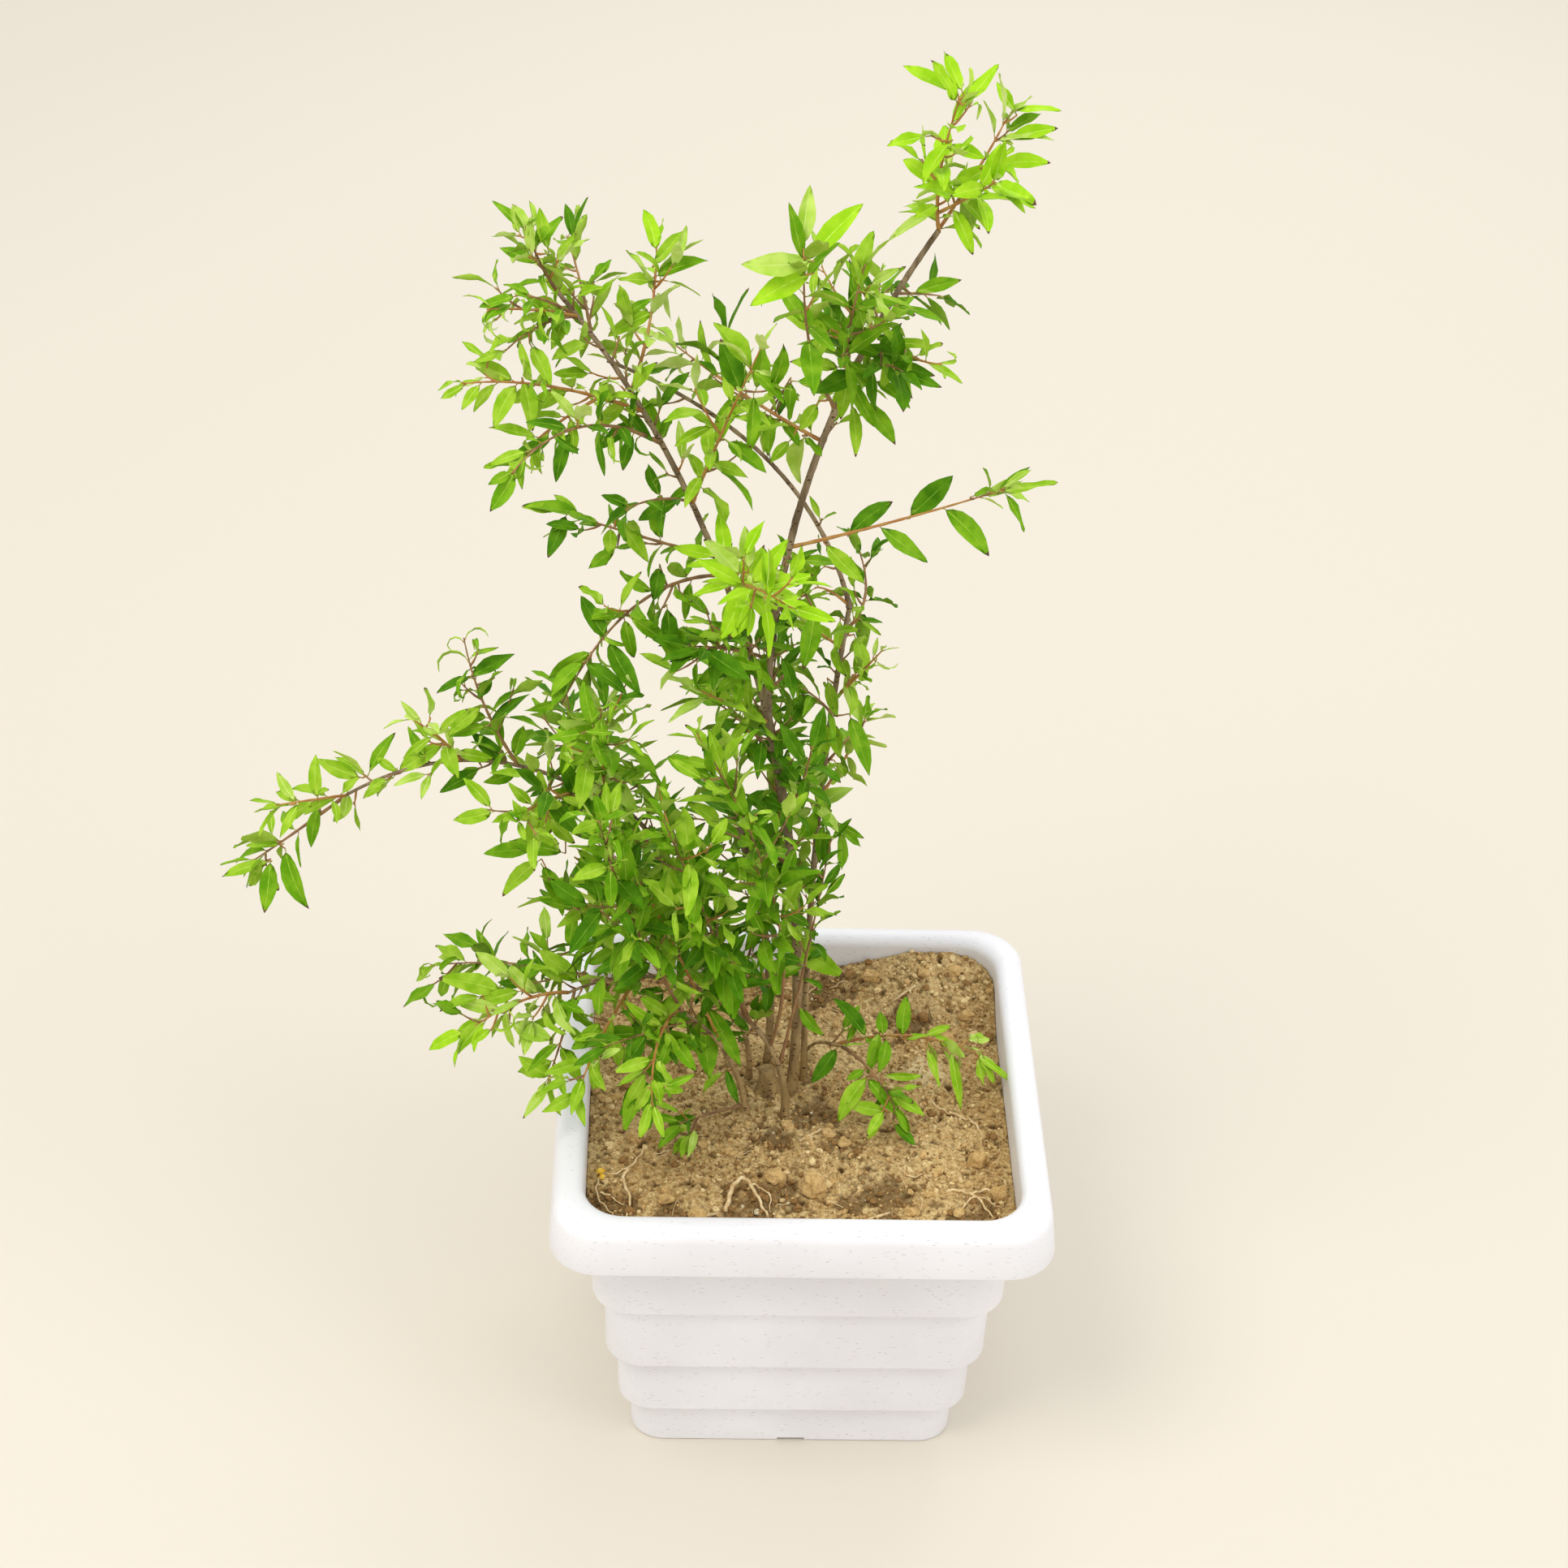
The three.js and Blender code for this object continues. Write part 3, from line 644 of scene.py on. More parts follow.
# %% Soil material
CLAY = {"drift": 24.0, "grains": 420.0, "grained": 0.62, "shade_pits": 750.0, "holed": 0.55}
# Tints of the bed: attribute, where the tint begins and is full, its share, colour if not dark.
# The raised tint is painted shade: the lower a point of the relief, the darker it is painted.
TINTS = [
    ("raised", 0.62, 0.18, 0.95, None),
    ("damp", 0.0, 1.0, 0.66, None),
    ("pale", 0.0, 1.0, 0.8, "#f8e2b0"),
]


def clay(name, pale, brown, dark, depth, bed=False):
    """Clay: tan into brown, with grains. The bed is darker where damp, with painted shade in
    hollows.
    """
    material, tree, shader = new_material(name, 0.95, Specular_IOR_Level=0.15)
    where = place_vector(tree)
    tones = {"Vector": where, "First": srgb(brown), "Second": srgb(pale)}
    drift = use_group(tree, mottle, Scale=CLAY["drift"], **tones)
    grains = use_group(tree, mottle, Scale=CLAY["grains"], **tones)
    colour = mix_colours(tree, CLAY["grained"], drift["Colour"], grains["Colour"])
    # Fine dark pits: painted shade between the grains, on the bed and on every crumb.
    shade_pits = use_group(tree, mottle, Vector=where, Scale=CLAY["shade_pits"])
    pit_shade = join_values(tree, "MULTIPLY", spread(tree, shade_pits["Mask"], 0.25, 0.0), CLAY["holed"])
    colour = mix_colours(tree, pit_shade, colour, srgb(dark))
    for attribute, low, high, share, tint in TINTS if bed else ():
        value = tree.nodes.new("ShaderNodeAttribute")
        value.attribute_name = attribute
        risen = spread(tree, value.outputs["Fac"], low, high)
        amount = join_values(tree, "MULTIPLY", risen, share)
        colour = mix_colours(tree, amount, colour, srgb(tint or dark))
    tree.links.new(colour, shader.inputs["Base Color"])
    surface = use_group(tree, grit, Vector=where, Coarse=300.0, Fine=1100.0)
    bump(tree, shader, surface["Height"], depth)
    return material


crust = clay("dry_crust", "#f6da9e", "#b88e52", "#543716", 0.0034, bed=True)
bed = object_from(soil_bed(), "soil_bed", crust)
bed.data.shade_smooth()
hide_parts("soil")
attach(bed, "root")
print("soil faces:", len(bed.data.polygons))


# %% Seeded numbers
def seeded(seed):
    """Numbers from 0 to 1 that are the same on every run, as in the part's source."""
    state = (seed * 2654435761) % 2**32

    def draw():
        nonlocal state
        state = (state * 1664525 + 1013904223) % 2**32
        return state / 2**32

    return draw


def ranged(pair, share):
    """A least value, and a share of what may be added to it."""
    return pair[0] + pair[1] * share


# %% [markdown]
# ## Crumbs, clods and roots on the soil
# Thousands of crumbs would be slow as objects and slow as bmesh calls. For each size a dozen
# rough lumps are modelled from icospheres, and a pile then copies their points into one mesh.
# The big clods have places of their own, because they show. Dead roots, straws and fibres
# are thin bars, and one fallen petal is two small lumps.

# %% A pile of small meshes
class Pile:
    """Vertices, faces and a material number for each face, gathered for one mesh."""

    def __init__(self):
        self.verts, self.faces, self.kinds = [], [], []

    def add(self, verts, faces, kinds):
        base = len(self.verts)
        self.verts += verts
        self.faces += [tuple(base + i for i in face) for face in faces]
        self.kinds += kinds

    def build(self, name, *materials, smooth=True):
        mesh = bpy.data.meshes.new(name)
        mesh.from_pydata([v * MM for v in self.verts], [], self.faces)
        for material in materials:
            mesh.materials.append(material)
        mesh.polygons.foreach_set("material_index", self.kinds)
        mesh.polygons.foreach_set("use_smooth", [smooth] * len(self.faces))
        mesh.update()
        return into_scene(name, mesh)


def add_rod(pile, points, radii, sides, kind=0):
    """A thin closed bar through a few points, its section carried on without twisting."""
    verts, faces = [], []
    last = len(points) - 1
    across = (points[1] - points[0]).orthogonal()
    for i, (point, radius) in enumerate(zip(points, radii)):
        along = (points[min(i + 1, last)] - points[max(i - 1, 0)]).normalized()
        across = (across - along * across.dot(along)).normalized()
        out = along.cross(across)
        for k in range(sides):
            angle = math.tau * k / sides
            verts.append(point + (across * math.cos(angle) + out * math.sin(angle)) * radius)
    for i in range(last):
        for k in range(sides):
            a, b = i * sides + k, i * sides + (k + 1) % sides
            faces.append((a, b, b + sides, a + sides))
    faces.append(tuple(range(sides))[::-1])
    faces.append(tuple(last * sides + k for k in range(sides)))
    pile.add(verts, faces, [kind] * len(faces))


# %% Crumbs and clods
# Crumbs: how many are drawn, their least and greatest size, and how finely they are cut.
CRUMBS = [(9200, 0.9, 2.7, 1), (1500, 2.4, 5.2, 1), (100, 5.0, 8.5, 2)]
CRUMB_SHAPES = 12
CRUMB_SKEW = 2.2  # most are near the least size
CRUMB_KINDS = (0.36, 0.8, 1.56)  # pale up to the first share, then tan, brown and stone
CRUMB_CHANCE = {"plain": 0.12, "bare": 0.6, "damp": 0.5, "edge": 0.4}
BARE_ENDS, WALL_ENDS = (-0.35, 0.25), (96, 126)
LUMP = {"tilt": 1.6, "wide": (0.7, 0.5), "high": (0.55, 0.3), "lift": 0.2, "damp": 0.6}
# Clods: those that show in the view by their pixel, the rest by x and y, each with its size.
SEEN_CLODS = [
    (1205, 1430, 13), (1232, 1475, 10), (783, 1405, 9), (955, 1455, 13), (1003, 1470, 14),
    (1020, 1405, 8), (1040, 1415, 9), (820, 1480, 9), (860, 1500, 10), (1190, 1260, 10),
]
HIDDEN_CLODS = [
    (66, -96, 8), (98, 60, 9), (-98, 60, 10), (-60, 84, 12), (104, 112, 9), (50, 112, 11),
    (-40, 112, 10), (-113, 4, 8),
]


def seen_on_soil(px, py):
    return seen_at(px, py, 2, SOIL["level"] + 1).xy


def scattered(draw, margin):
    """A place drawn on the soil, a margin off the wall."""
    return tuple((2 * draw() - 1) * (SOIL["half"] - margin) for _ in range(2))


def rough_lump(rounds, seed):
    """A lump about 1 across, as points and faces."""
    bm = bmesh.new()
    bmesh.ops.create_icosphere(bm, subdivisions=rounds, radius=0.5)
    bm.verts.index_update()
    for vert in bm.verts:
        vert.co *= 1 + 0.5 * noise.noise(vert.co * 2.6 + Vector((seed * 7.3, 0, 0)))
    points = [vert.co.copy() for vert in bm.verts]
    faces = [tuple(vert.index for vert in face.verts) for face in bm.faces]
    bm.free()
    return points, faces


def drop_lump(pile, shape, x, y, size, draw, kind=None):
    points, faces = shape
    turned = Matrix.Rotation(draw() * math.tau, 3, "Z")
    turn = turned @ Matrix.Rotation((draw() - 0.5) * LUMP["tilt"], 3, "X")
    wide, high = ranged(LUMP["wide"], draw()), ranged(LUMP["high"], draw())
    squat = Matrix.Diagonal((size, size * wide, size * high))
    place = Vector((x, y, soil_top(x, y) + LUMP["lift"] * size))
    dealt_kind = draw() + LUMP["damp"] * dampness(x, y)
    kind = sum(dealt_kind > share for share in CRUMB_KINDS) if kind is None else kind
    pile.add([place + turn @ (squat @ p) for p in points], faces, [kind] * len(faces))


crumbs = Pile()
draw = seeded(501)
for count, low, high, rounds in CRUMBS:
    shapes = [rough_lump(rounds, i) for i in range(CRUMB_SHAPES)]
    for i in range(count):
        x, y = scattered(draw, 3)
        size = low + (high - low) * draw() ** CRUMB_SKEW
        chance = CRUMB_CHANCE["plain"]
        chance += CRUMB_CHANCE["bare"] * smoothstep(over_soil("bare", x, y), *BARE_ENDS)
        chance += CRUMB_CHANCE["damp"] * dampness(x, y)
        chance += CRUMB_CHANCE["edge"] * smoothstep(max(abs(x), abs(y)), *WALL_ENDS)
        if draw() < chance:
            drop_lump(crumbs, shapes[i % CRUMB_SHAPES], x, y, size, draw)
seen_clods = [(*seen_on_soil(px, py), size) for px, py, size in SEEN_CLODS]
for i, (x, y, size) in enumerate(seen_clods + HIDDEN_CLODS):
    drop_lump(crumbs, rough_lump(3, 40 + i), x, y, size, draw, kind=1)

crumb_piece = crumbs.build(
    "soil_crumbs",
    clay("pale_crumb", "#efd9a4", "#d2b47a", "#9a7a48", 0.0008),
    clay("tan_crumb", "#d9b87e", "#b5915a", "#876839", 0.0008),
    clay("brown_crumb", "#a37e4c", "#83623a", "#5c4226", 0.0008),
    clay("stone", "#e2d5b6", "#c8b791", "#9c875f", 0.0004),
    smooth=False,
)
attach(crumb_piece, "root")
print("crumb faces:", len(crumb_piece.data.polygons))

# %% Dead roots and straws
# A root is a radius and a few points (x, y, lift above the soil). A straw is two places and
# a radius. The petal's lumps are pixels and sizes.
ROOTS = [
    (1.1, (-45, -94, 0), (-42, -82, 6), (-37, -77, 9), (-31, -80, 8), (-25, -90, 3), (-20, -99, 0)),
    (0.55, (-32, -79, 7), (-25, -80, 5), (-19, -85, 3), (-19, -94, 0)),
    (0.6, (-94, -39, 0), (-99, -51, 1.5), (-104, -61, 2), (-113, -66, 2), (-122, -69, 1)),
    (0.5, (-122, -69, 1), (-123, -80, 2), (-119, -93, 3), (-110, -104, 0)),
    (0.8, (-104, -61, 2), (-107, -74, 2), (-103, -88, 3), (-105, -107, 0)),
    (0.4, (-121, -84, 2), (-113, -87, 3), (-106, -91, 0)),
    (0.7, (84, 4, 0), (98, -8, 2), (108, -15, 2), (114, -29, 0)),
    (0.8, (88, -76, 0), (99, -78, 2), (108, -87, 2), (118, -100, 0)),
    (0.55, (103, -80, 1), (112, -78, 4), (119, -82, 3), (124, -71, 4), (120, -63, 1)),
    (0.4, (96, -90, 0), (106, -84, 3), (116, -88, 2), (123, -92, 0)),
    (0.4, (60, -60, 0), (66, -66, 1), (75, -64, 1), (80, -70, 0)),
    (0.9, (-108, 6, 0), (-106, -10, 2), (-107, -26, 0)),
    (0.6, (-20, 100, 0), (-8, 108, 3), (6, 104, 2), (14, 112, 0)),
    (0.6, (-90, 92, 0), (-76, 100, 3), (-62, 96, 1), (-50, 104, 0)),
]
STRAWS = [
    ((0, -38), (14, -28), 1.1), ((39, -102), (53, -95), 1.2), ((-72, -106), (-50, -98), 1.2),
    ((60, 92), (78, 100), 1.0),
]
PETAL = [(739, 1442, 6), (742, 1450, 5)]
FIBRES = {"count": 150, "margin": 12, "long": (4, 12), "radius": (0.14, 0.2)}
WANDER = 1.2
UP = Vector((0, 0, 1))


def through(points, steps):
    """A smooth path through points, by Catmull and Rom's rule."""
    ends = [points[0] * 2 - points[1], *points, points[-1] * 2 - points[-2]]
    path = [points[0]]
    for a, b, c, d in zip(ends, ends[1:], ends[2:], ends[3:]):
        for i in range(1, steps + 1):
            t = i / steps
            bow = (2 * a - 5 * b + 4 * c - d) * t**2 + (3 * b - a - 3 * c + d) * t**3
            path.append((2 * b + (c - a) * t + bow) / 2)
    return path


def lay(points, steps):
    """Lays a path on the soil and lets it wander a little."""
    path = through([Vector((x, y, lift)) for x, y, lift in points], steps)
    wander = [Vector((noise.noise(p / 4), noise.noise(p / 4 + UP * 9), 0)) * WANDER for p in path]
    moved = [p + away for p, away in zip(path, wander)]
    return [Vector((p.x, p.y, soil_top(p.x, p.y) + p.z)) for p in moved]


litter = Pile()
for radius, *points in ROOTS:
    path = lay(points, 6)
    radii = [radius * (1.4 - 0.7 * i / len(path)) for i in range(len(path))]
    add_rod(litter, path, radii, 6)
for start, end, radius in STRAWS:
    path = [Vector((x, y, soil_top(x, y) + 1.0)) for x, y in (start, end)]
    add_rod(litter, path, [radius, radius * 0.7], 5)
for px, py, size in PETAL:
    drop_lump(litter, rough_lump(1, size), *seen_on_soil(px, py), size, draw, kind=1)
for _ in range(FIBRES["count"]):
    x, y = scattered(draw, FIBRES["margin"])
    turn, long = draw() * math.tau, ranged(FIBRES["long"], draw() ** 2)
    way = Vector((math.cos(turn), math.sin(turn), 0)) * long / 2
    bend = Vector((-way.y, way.x, 0)) * (draw() - 0.5)
    start, end = (x - way.x, y - way.y, 0.2), (x + way.x, y + way.y, 0.1)
    path = lay([start, (x + bend.x, y + bend.y, 0.7), end], 3)
    add_rod(litter, path, [ranged(FIBRES["radius"], draw())] * len(path), 4)
root_fibre = mottled("root_fibre", "#c8a670", "#ecd5a6", 300.0, 0.85, 900.0, 0.0002)
petal = mottled("fallen_petal", "#f2b818", "#f6d04a", 300.0, 0.7, 900.0, 0.0001)
litter_piece = litter.build("dead_roots", root_fibre, petal)
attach(litter_piece, "root")
print("root faces:", len(litter_piece.data.polygons))

# %% [markdown]
# ## Stems
# Each stem and bough is one bow through three points, with the same names, feet and tips as
# the solids. A ring is drawn at the foot and extruded along the bow, narrowing as it goes,
# and swells a little at every old leaf joint. Noise then roughens the skin, because bark on
# a young shrub is thin and lightly cracked. A child's foot is sunk in its parent, so the
# fork reads as one piece of wood.

# %% Limbs
GAP = 0.3
GROUND = SOIL["crown"] + GAP
# For each: a place on the ground, or a limb and how far along it; half way; tip; two radii.
LIMBS = {
    "main_stem": ((-4, 10), (-7, 9, 341), (-29, 5, 487), (3.3, 2.4)),
    "right_leader": (("main_stem", 1), (-8, 12, 642), (52, 20, 779), (2.4, 1.5)),
    "left_leader": (("main_stem", 0.98), (-78, 14, 626), (-147, 30, 734), (2, 1.2)),
    "rear_stem": ((4, 21), (5, 35, 370), (18, 45, 531), (2.1, 1.5)),
    "rear_arch": (("rear_stem", 1), (-30, 47, 623), (-121, 50, 683), (1.4, 1)),
    "front_stem": ((-9, -16), (-16, -15, 244), (-41, -5, 272), (2.3, 1.5)),
    "cut_stem": ((-20, 26), (-22, 20, 296), (-43, 15, 397), (2.5, 2.3)),
    "left_stem": ((-33, -10), (-37, -10, 218), (-45, -13, 242), (2, 1.5)),
    "left_rear_stem": ((-31, 22), (-32, 19, 224), (-41, 12, 256), (1.9, 1.5)),
    "root_crown": ((-19, 9), (-19, 9, 205), (-20, 9, 214), (5.5, 4.6)),
    "arch_bough": (("left_rear_stem", 1), (-84, 8, 378), (-133, 6, 427), (1.5, 1.3)),
    "arch_end": (("arch_bough", 1), (-200, 1, 450), (-268, -5, 429), (1.3, 0.9)),
    "low_bough": (("front_stem", 1), (-90, -16, 306), (-141, -28, 303), (1.4, 0.9)),
    "front_bough": (("left_stem", 1), (-58, -34, 280), (-76, -46, 306), (1.4, 1)),
    "right_sucker": ((3, 33), (9, 27, 219), (26, 10, 232), (1.2, 0.9)),
}
ROOTED = [name for name, (start, *_) in LIMBS.items() if not isinstance(start[0], str)]
BARK = {
    "sides": 12, "step": 2.4, "rough": 0.12, "sunk": 2.5, "sharp": 55, "drawn_out": 0.25,
    "cracks": (1.1, 0.5), "finer": 0.6,
}
FLARE = {"ground": (0.55, 7), "fork": (0.45, 5)}  # how much wider at the foot, and how far up
JOINT = {"apart": 17, "high": 0.14, "short": 3.5}  # the swellings at old leaf joints


class Bow:
    """A curve from a foot to a tip that passes through `via` half way."""

    def __init__(self, foot, via, tip):
        self.foot, self.tip = Vector(foot), Vector(tip)
        self.bend = 2 * Vector(via) - (self.foot + self.tip) / 2
        steps = [self.point(i / 16) for i in range(17)]
        self.length = sum((b - a).length for a, b in zip(steps, steps[1:]))

    def point(self, t):
        return self.foot * (1 - t) ** 2 + self.bend * (2 * t * (1 - t)) + self.tip * t**2

    def frame(self, t):
        """Directions along the curve, across it and out of its plane, at a share of it."""
        along = ((self.bend - self.foot) * (1 - t) + (self.tip - self.bend) * t).normalized()
        out = (self.bend - self.foot).cross(self.tip - self.foot)
        if out.length < 1:
            out = along.cross(Vector((1, 0, 0)))
        out.normalize()
        return along, out.cross(along), out


bows = {}
for name, (start, via, tip, _) in LIMBS.items():
    foot = (*start, GROUND) if name in ROOTED else bows[start[0]].point(start[1])
    bows[name] = Bow(foot, via, tip)
print("limbs:", {name: round(bow.length) for name, bow in bows.items()})


# %% Bark mesh
def ring_matrix(bow, t, radius):
    along, across, out = bow.frame(t)
    turn = Matrix((across, out, along)).transposed().to_4x4()
    return Matrix.Translation(bow.point(t)) @ turn @ Matrix.Diagonal((radius, radius, 1, 1))


def tube(bm, bow, shares, radius_at, sides):
    """Extrudes a ring along a bow. Gives each vertex with its ring's middle, and the end face."""
    place = ring_matrix(bow, shares[0], radius_at(shares[0]))
    circle = bmesh.ops.create_circle(bm, cap_ends=True, segments=sides, radius=1, matrix=place)
    ring = circle["verts"]
    edges = list({edge for vert in ring for edge in vert.link_edges})
    spokes = [(vert, bow.point(shares[0])) for vert in ring]
    for t in shares[1:]:
        verts, edges = grow_edge(bm, edges)
        new_place = ring_matrix(bow, t, radius_at(t))
        bmesh.ops.transform(bm, matrix=new_place @ place.inverted(), verts=verts)
        spokes += [(vert, bow.point(t)) for vert in verts]
        place = new_place
    return spokes, bmesh.ops.edgeloop_fill(bm, edges=edges)["faces"]


def roughen(spokes, depth):
    """Pushes bark in and out along each ring's spokes."""
    for vert, middle in spokes:
        where = vert.co.copy()
        where.z *= BARK["drawn_out"]
        coarse, fine = (noise.noise(where / size) for size in BARK["cracks"])
        cracks = coarse + BARK["finer"] * fine
        vert.co = middle + (vert.co - middle) * (1 + depth * cracks)


def limb_radius(name):
    """The radius of a limb at a share of its length."""
    bow, (foot, tip) = bows[name], LIMBS[name][3]
    high, reach = FLARE["ground" if name in ROOTED else "fork"]

    def radius_at(t):
        flare = high * math.exp(-t * bow.length / reach)
        joint = abs(math.sin(math.pi * t * bow.length / JOINT["apart"]))
        swelling = JOINT["high"] * max(0.0, 1 - JOINT["short"] * joint)
        return (foot + (tip - foot) * t) * (1 + flare + swelling)

    return radius_at


def even_shares(count):
    return [i / count for i in range(count + 1)]


bm = bmesh.new()
for name, bow in bows.items():
    shares = even_shares(max(6, round(bow.length / BARK["step"])))
    spokes, end = tube(bm, bow, shares, limb_radius(name), BARK["sides"])
    roughen(spokes, BARK["rough"])
    if name in ROOTED:
        for vert, _ in spokes[:BARK["sides"]]:
            vert.co.z = GROUND - BARK["sunk"]
    if name == "cut_stem":
        for face in end:
            face.material_index = 1
bmesh.ops.scale(bm, vec=(MM, MM, MM), verts=bm.verts[:])
bmesh.ops.recalc_face_normals(bm, faces=bm.faces[:])

# %% Bark finish
OLD_BARK = (0.21, 0.36)  # metres above the ground, over which old bark takes over from low bark
bark, tree, shader = new_material("thin_bark", 0.82, Specular_IOR_Level=0.25)
where = place_vector(tree, (1, 1, 0.22))
BARK_TONES = (("#6a5843", "#a08a6d"), ("#836a42", "#b49764"))  # old bark, and low bark
old, low = (
    use_group(tree, mottle, Vector=where, Scale=150.0, First=srgb(first), Second=srgb(second))
    for first, second in BARK_TONES
)
height = tree.nodes.new("ShaderNodeSeparateXYZ")
tree.links.new(tree.nodes["Texture Coordinate"].outputs["Object"], height.inputs[0])
risen = spread(tree, height.outputs["Z"], *OLD_BARK)
colour = mix_colours(tree, risen, low["Colour"], old["Colour"])
dotted = place_vector(tree, (1.4, 1.4, 0.7))
dots = use_group(tree, specks, Vector=dotted, Turn=(0.0, 1.57, 0.0), Size=0.3, Share=0.5)
colour = mix_colours(tree, dots["Mask"], colour, srgb("#4d3a26"))
tree.links.new(colour, shader.inputs["Base Color"])
cracks = use_group(tree, grit, Vector=where, Coarse=260.0, Fine=1100.0)
bump(tree, shader, cracks["Height"], 0.0006)
sawn_wood = mottled("sawn_wood", "#c9a878", "#e0c79c", 420.0, 0.8, 1200.0, 0.0002)

stems = object_from(bm, "stems_bark", bark, sawn_wood)
stems.data.shade_smooth()
stems.data.set_sharp_from_angle(angle=math.radians(BARK["sharp"]))
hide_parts(*LIMBS)
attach(stems, "root")
print("bark faces:", len(stems.data.polygons))

# %% [markdown]
# ## How the leafy shoots grow
# Pomegranate leaves stand in pairs, each pair a quarter turn round from the last, along thin
# shoots. Every leafy shoot of the solids is grown again by the same rule and within the same
# reach, with more and finer side twigs and with leaves of their true size. Finer shoots and
# short spurs fill in between them, and leaves that stand clear are placed one by one. A leaf
# that grows keeps to the space nearest its own shoot, off the limbs, above the soil and off
# the planter's rim. A k-d tree of points along the shoots tells whose space a point is in.

# %% Leafy shoots
# For each: its limb and how far along it, half way, tip, reach, side twigs, leaf, look.
SHOOTS = {
    "top": (("right_leader", 1), (50, 13, 814), (56, 0, 860), 19, 4, 27, "young"),
    "top_right": (("right_leader", 0.96), (70, 32, 806), (84, 42, 830), 18, 3, 27, "fresh"),
    "upper_front": (("right_leader", 0.68), (6, -8, 730), (12, -20, 778), 30, 5, 30, "mid"),
    "upper_tip": (("right_leader", 0.62), (-14, -22, 730), (-21, -62, 802), 14, 1, 32, "fresh"),
    "upper_right": (("right_leader", 0.8), (36, -12, 724), (52, -48, 737), 6, 1, 22, "mid"),
    "upper_rear": (("right_leader", 0.78), (25, 66, 701), (30, 116, 708), 17, 4, 25, "deep"),
    "centre_top": (("left_leader", 0.46), (-60, -8, 668), (-40, -36, 738), 28, 3, 28, "mid"),
    "crossing": (("right_leader", 0.55), (-47, 36, 672), (-88, 84, 679), 30, 4, 30, "mid"),
    "upright_left": (("left_leader", 0.73), (-98, 44, 710), (-95, 72, 741), 20, 2, 28, "fresh"),
    "left_top": (("left_leader", 1), (-156, 28, 752), (-163, 24, 774), 15, 5, 24, "fresh"),
    "left_top_side": (("left_leader", 0.93), (-158, 8, 734), (-182, -6, 741), 18, 4, 25, "mid"),
    "left_top_rear": (("left_leader", 0.88), (-136, 70, 719), (-145, 112, 727), 14, 4, 24, "deep"),
    "left_outer": (("left_leader", 0.68), (-150, -12, 700), (-194, -28, 709), 14, 3, 25, "mid"),
    "left_outer_low": (("left_leader", 0.6), (-132, -26, 684), (-167, -66, 678), 13, 3, 25, "mid"),
    "left_mid": (("left_leader", 0.34), (-103, 8, 598), (-148, 20, 606), 22, 2, 24, "mid"),
    "left_droop": (("left_leader", 0.3), (-104, -16, 567), (-143, -42, 520), 24, 3, 28, "mid"),
    "centre_front": (("left_leader", 0.27), (-44, -54, 606), (-22, -108, 626), 24, 4, 30, "young"),
    "right_reach": (("right_leader", 0.33), (38, -1, 616), (94, -13, 644), 14, 1, 26, "fresh"),
    "right_high": (("rear_stem", 0.95), (29, 76, 523), (22, 118, 536), 9, 2, 23, "deep"),
    "right_mid": (("rear_stem", 0.8), (26, 28, 498), (36, 14, 522), 6, 1, 14, "mid"),
    "right_low": (("rear_stem", 0.6), (25, 64, 420), (36, 104, 418), 9, 2, 23, "mid"),
    "right_front": (("front_stem", 0.42), (-2, -10, 304), (12, 2, 398), 11, 4, 24, "mid"),
    "centre_left": (("right_leader", 0.1), (-50, -16, 540), (-74, -38, 556), 34, 7, 28, "deep"),
    "centre_rear": (("main_stem", 0.85), (-39, 58, 446), (-57, 112, 456), 34, 7, 28, "deep"),
    "rear_low": (("main_stem", 0.6), (-33, 64, 357), (-57, 126, 354), 36, 7, 29, "deep"),
    "arch_tip": (("arch_end", 1), (-300, -10, 404), (-324, -13, 386), 16, 2, 24, "mid"),
    "arch_up": (("arch_end", 0.28), (-190, 12, 482), (-201, 22, 520), 24, 3, 26, "mid"),
    "arch_up_left": (("arch_end", 0.52), (-214, -14, 476), (-230, -26, 498), 18, 2, 23, "fresh"),
    "arch_front": (("arch_bough", 0.96), (-152, -28, 444), (-167, -72, 461), 30, 6, 27, "mid"),
    "arch_rear": (("arch_bough", 0.9), (-136, 50, 426), (-150, 108, 426), 34, 6, 28, "deep"),
    "left_upright": (("arch_bough", 0.72), (-120, -26, 470), (-121, -60, 527), 34, 8, 29, "fresh"),
    "heart_left": (("arch_bough", 0.35), (-104, -14, 349), (-145, -34, 381), 34, 8, 28, "mid"),
    "heart_rear": (("left_rear_stem", 0.85), (-84, 62, 297), (-125, 112, 306), 34, 8, 29, "deep"),
    "outer_shoot": (("front_bough", 0.9), (-102, -72, 390), (-121, -102, 484), 34, 9, 30, "mid"),
    "inner_shoot": (("front_stem", 0.85), (-58, -50, 370), (-86, -96, 480), 36, 10, 30, "mid"),
    "tall_shoot": (("front_stem", 0.6), (-20, -40, 375), (-69, -72, 522), 32, 9, 29, "mid"),
    "low_tip": (("low_bough", 1), (-170, -36, 302), (-204, -50, 287), 26, 5, 28, "fresh"),
    "low_rear": (("low_bough", 0.8), (-173, 18, 287), (-229, 44, 264), 28, 6, 27, "mid"),
    "low_front": (("low_bough", 0.6), (-120, -64, 301), (-133, -104, 290), 18, 5, 25, "fresh"),
    "front": (("front_bough", 1), (-88, -80, 307), (-90, -116, 292), 16, 4, 27, "mid"),
    "foot_shoot": (("left_stem", 0.12), (-54, -22, 204), (-74, -34, 206), 18, 2, 24, "mid"),
    "sucker_front": (("right_sucker", 1), (44, -10, 229), (58, -26, 214), 14, 3, 24, "mid"),
    "sucker_side": (("right_sucker", 0.92), (68, 14, 238), (112, 15, 222), 14, 2, 20, "fresh"),
}
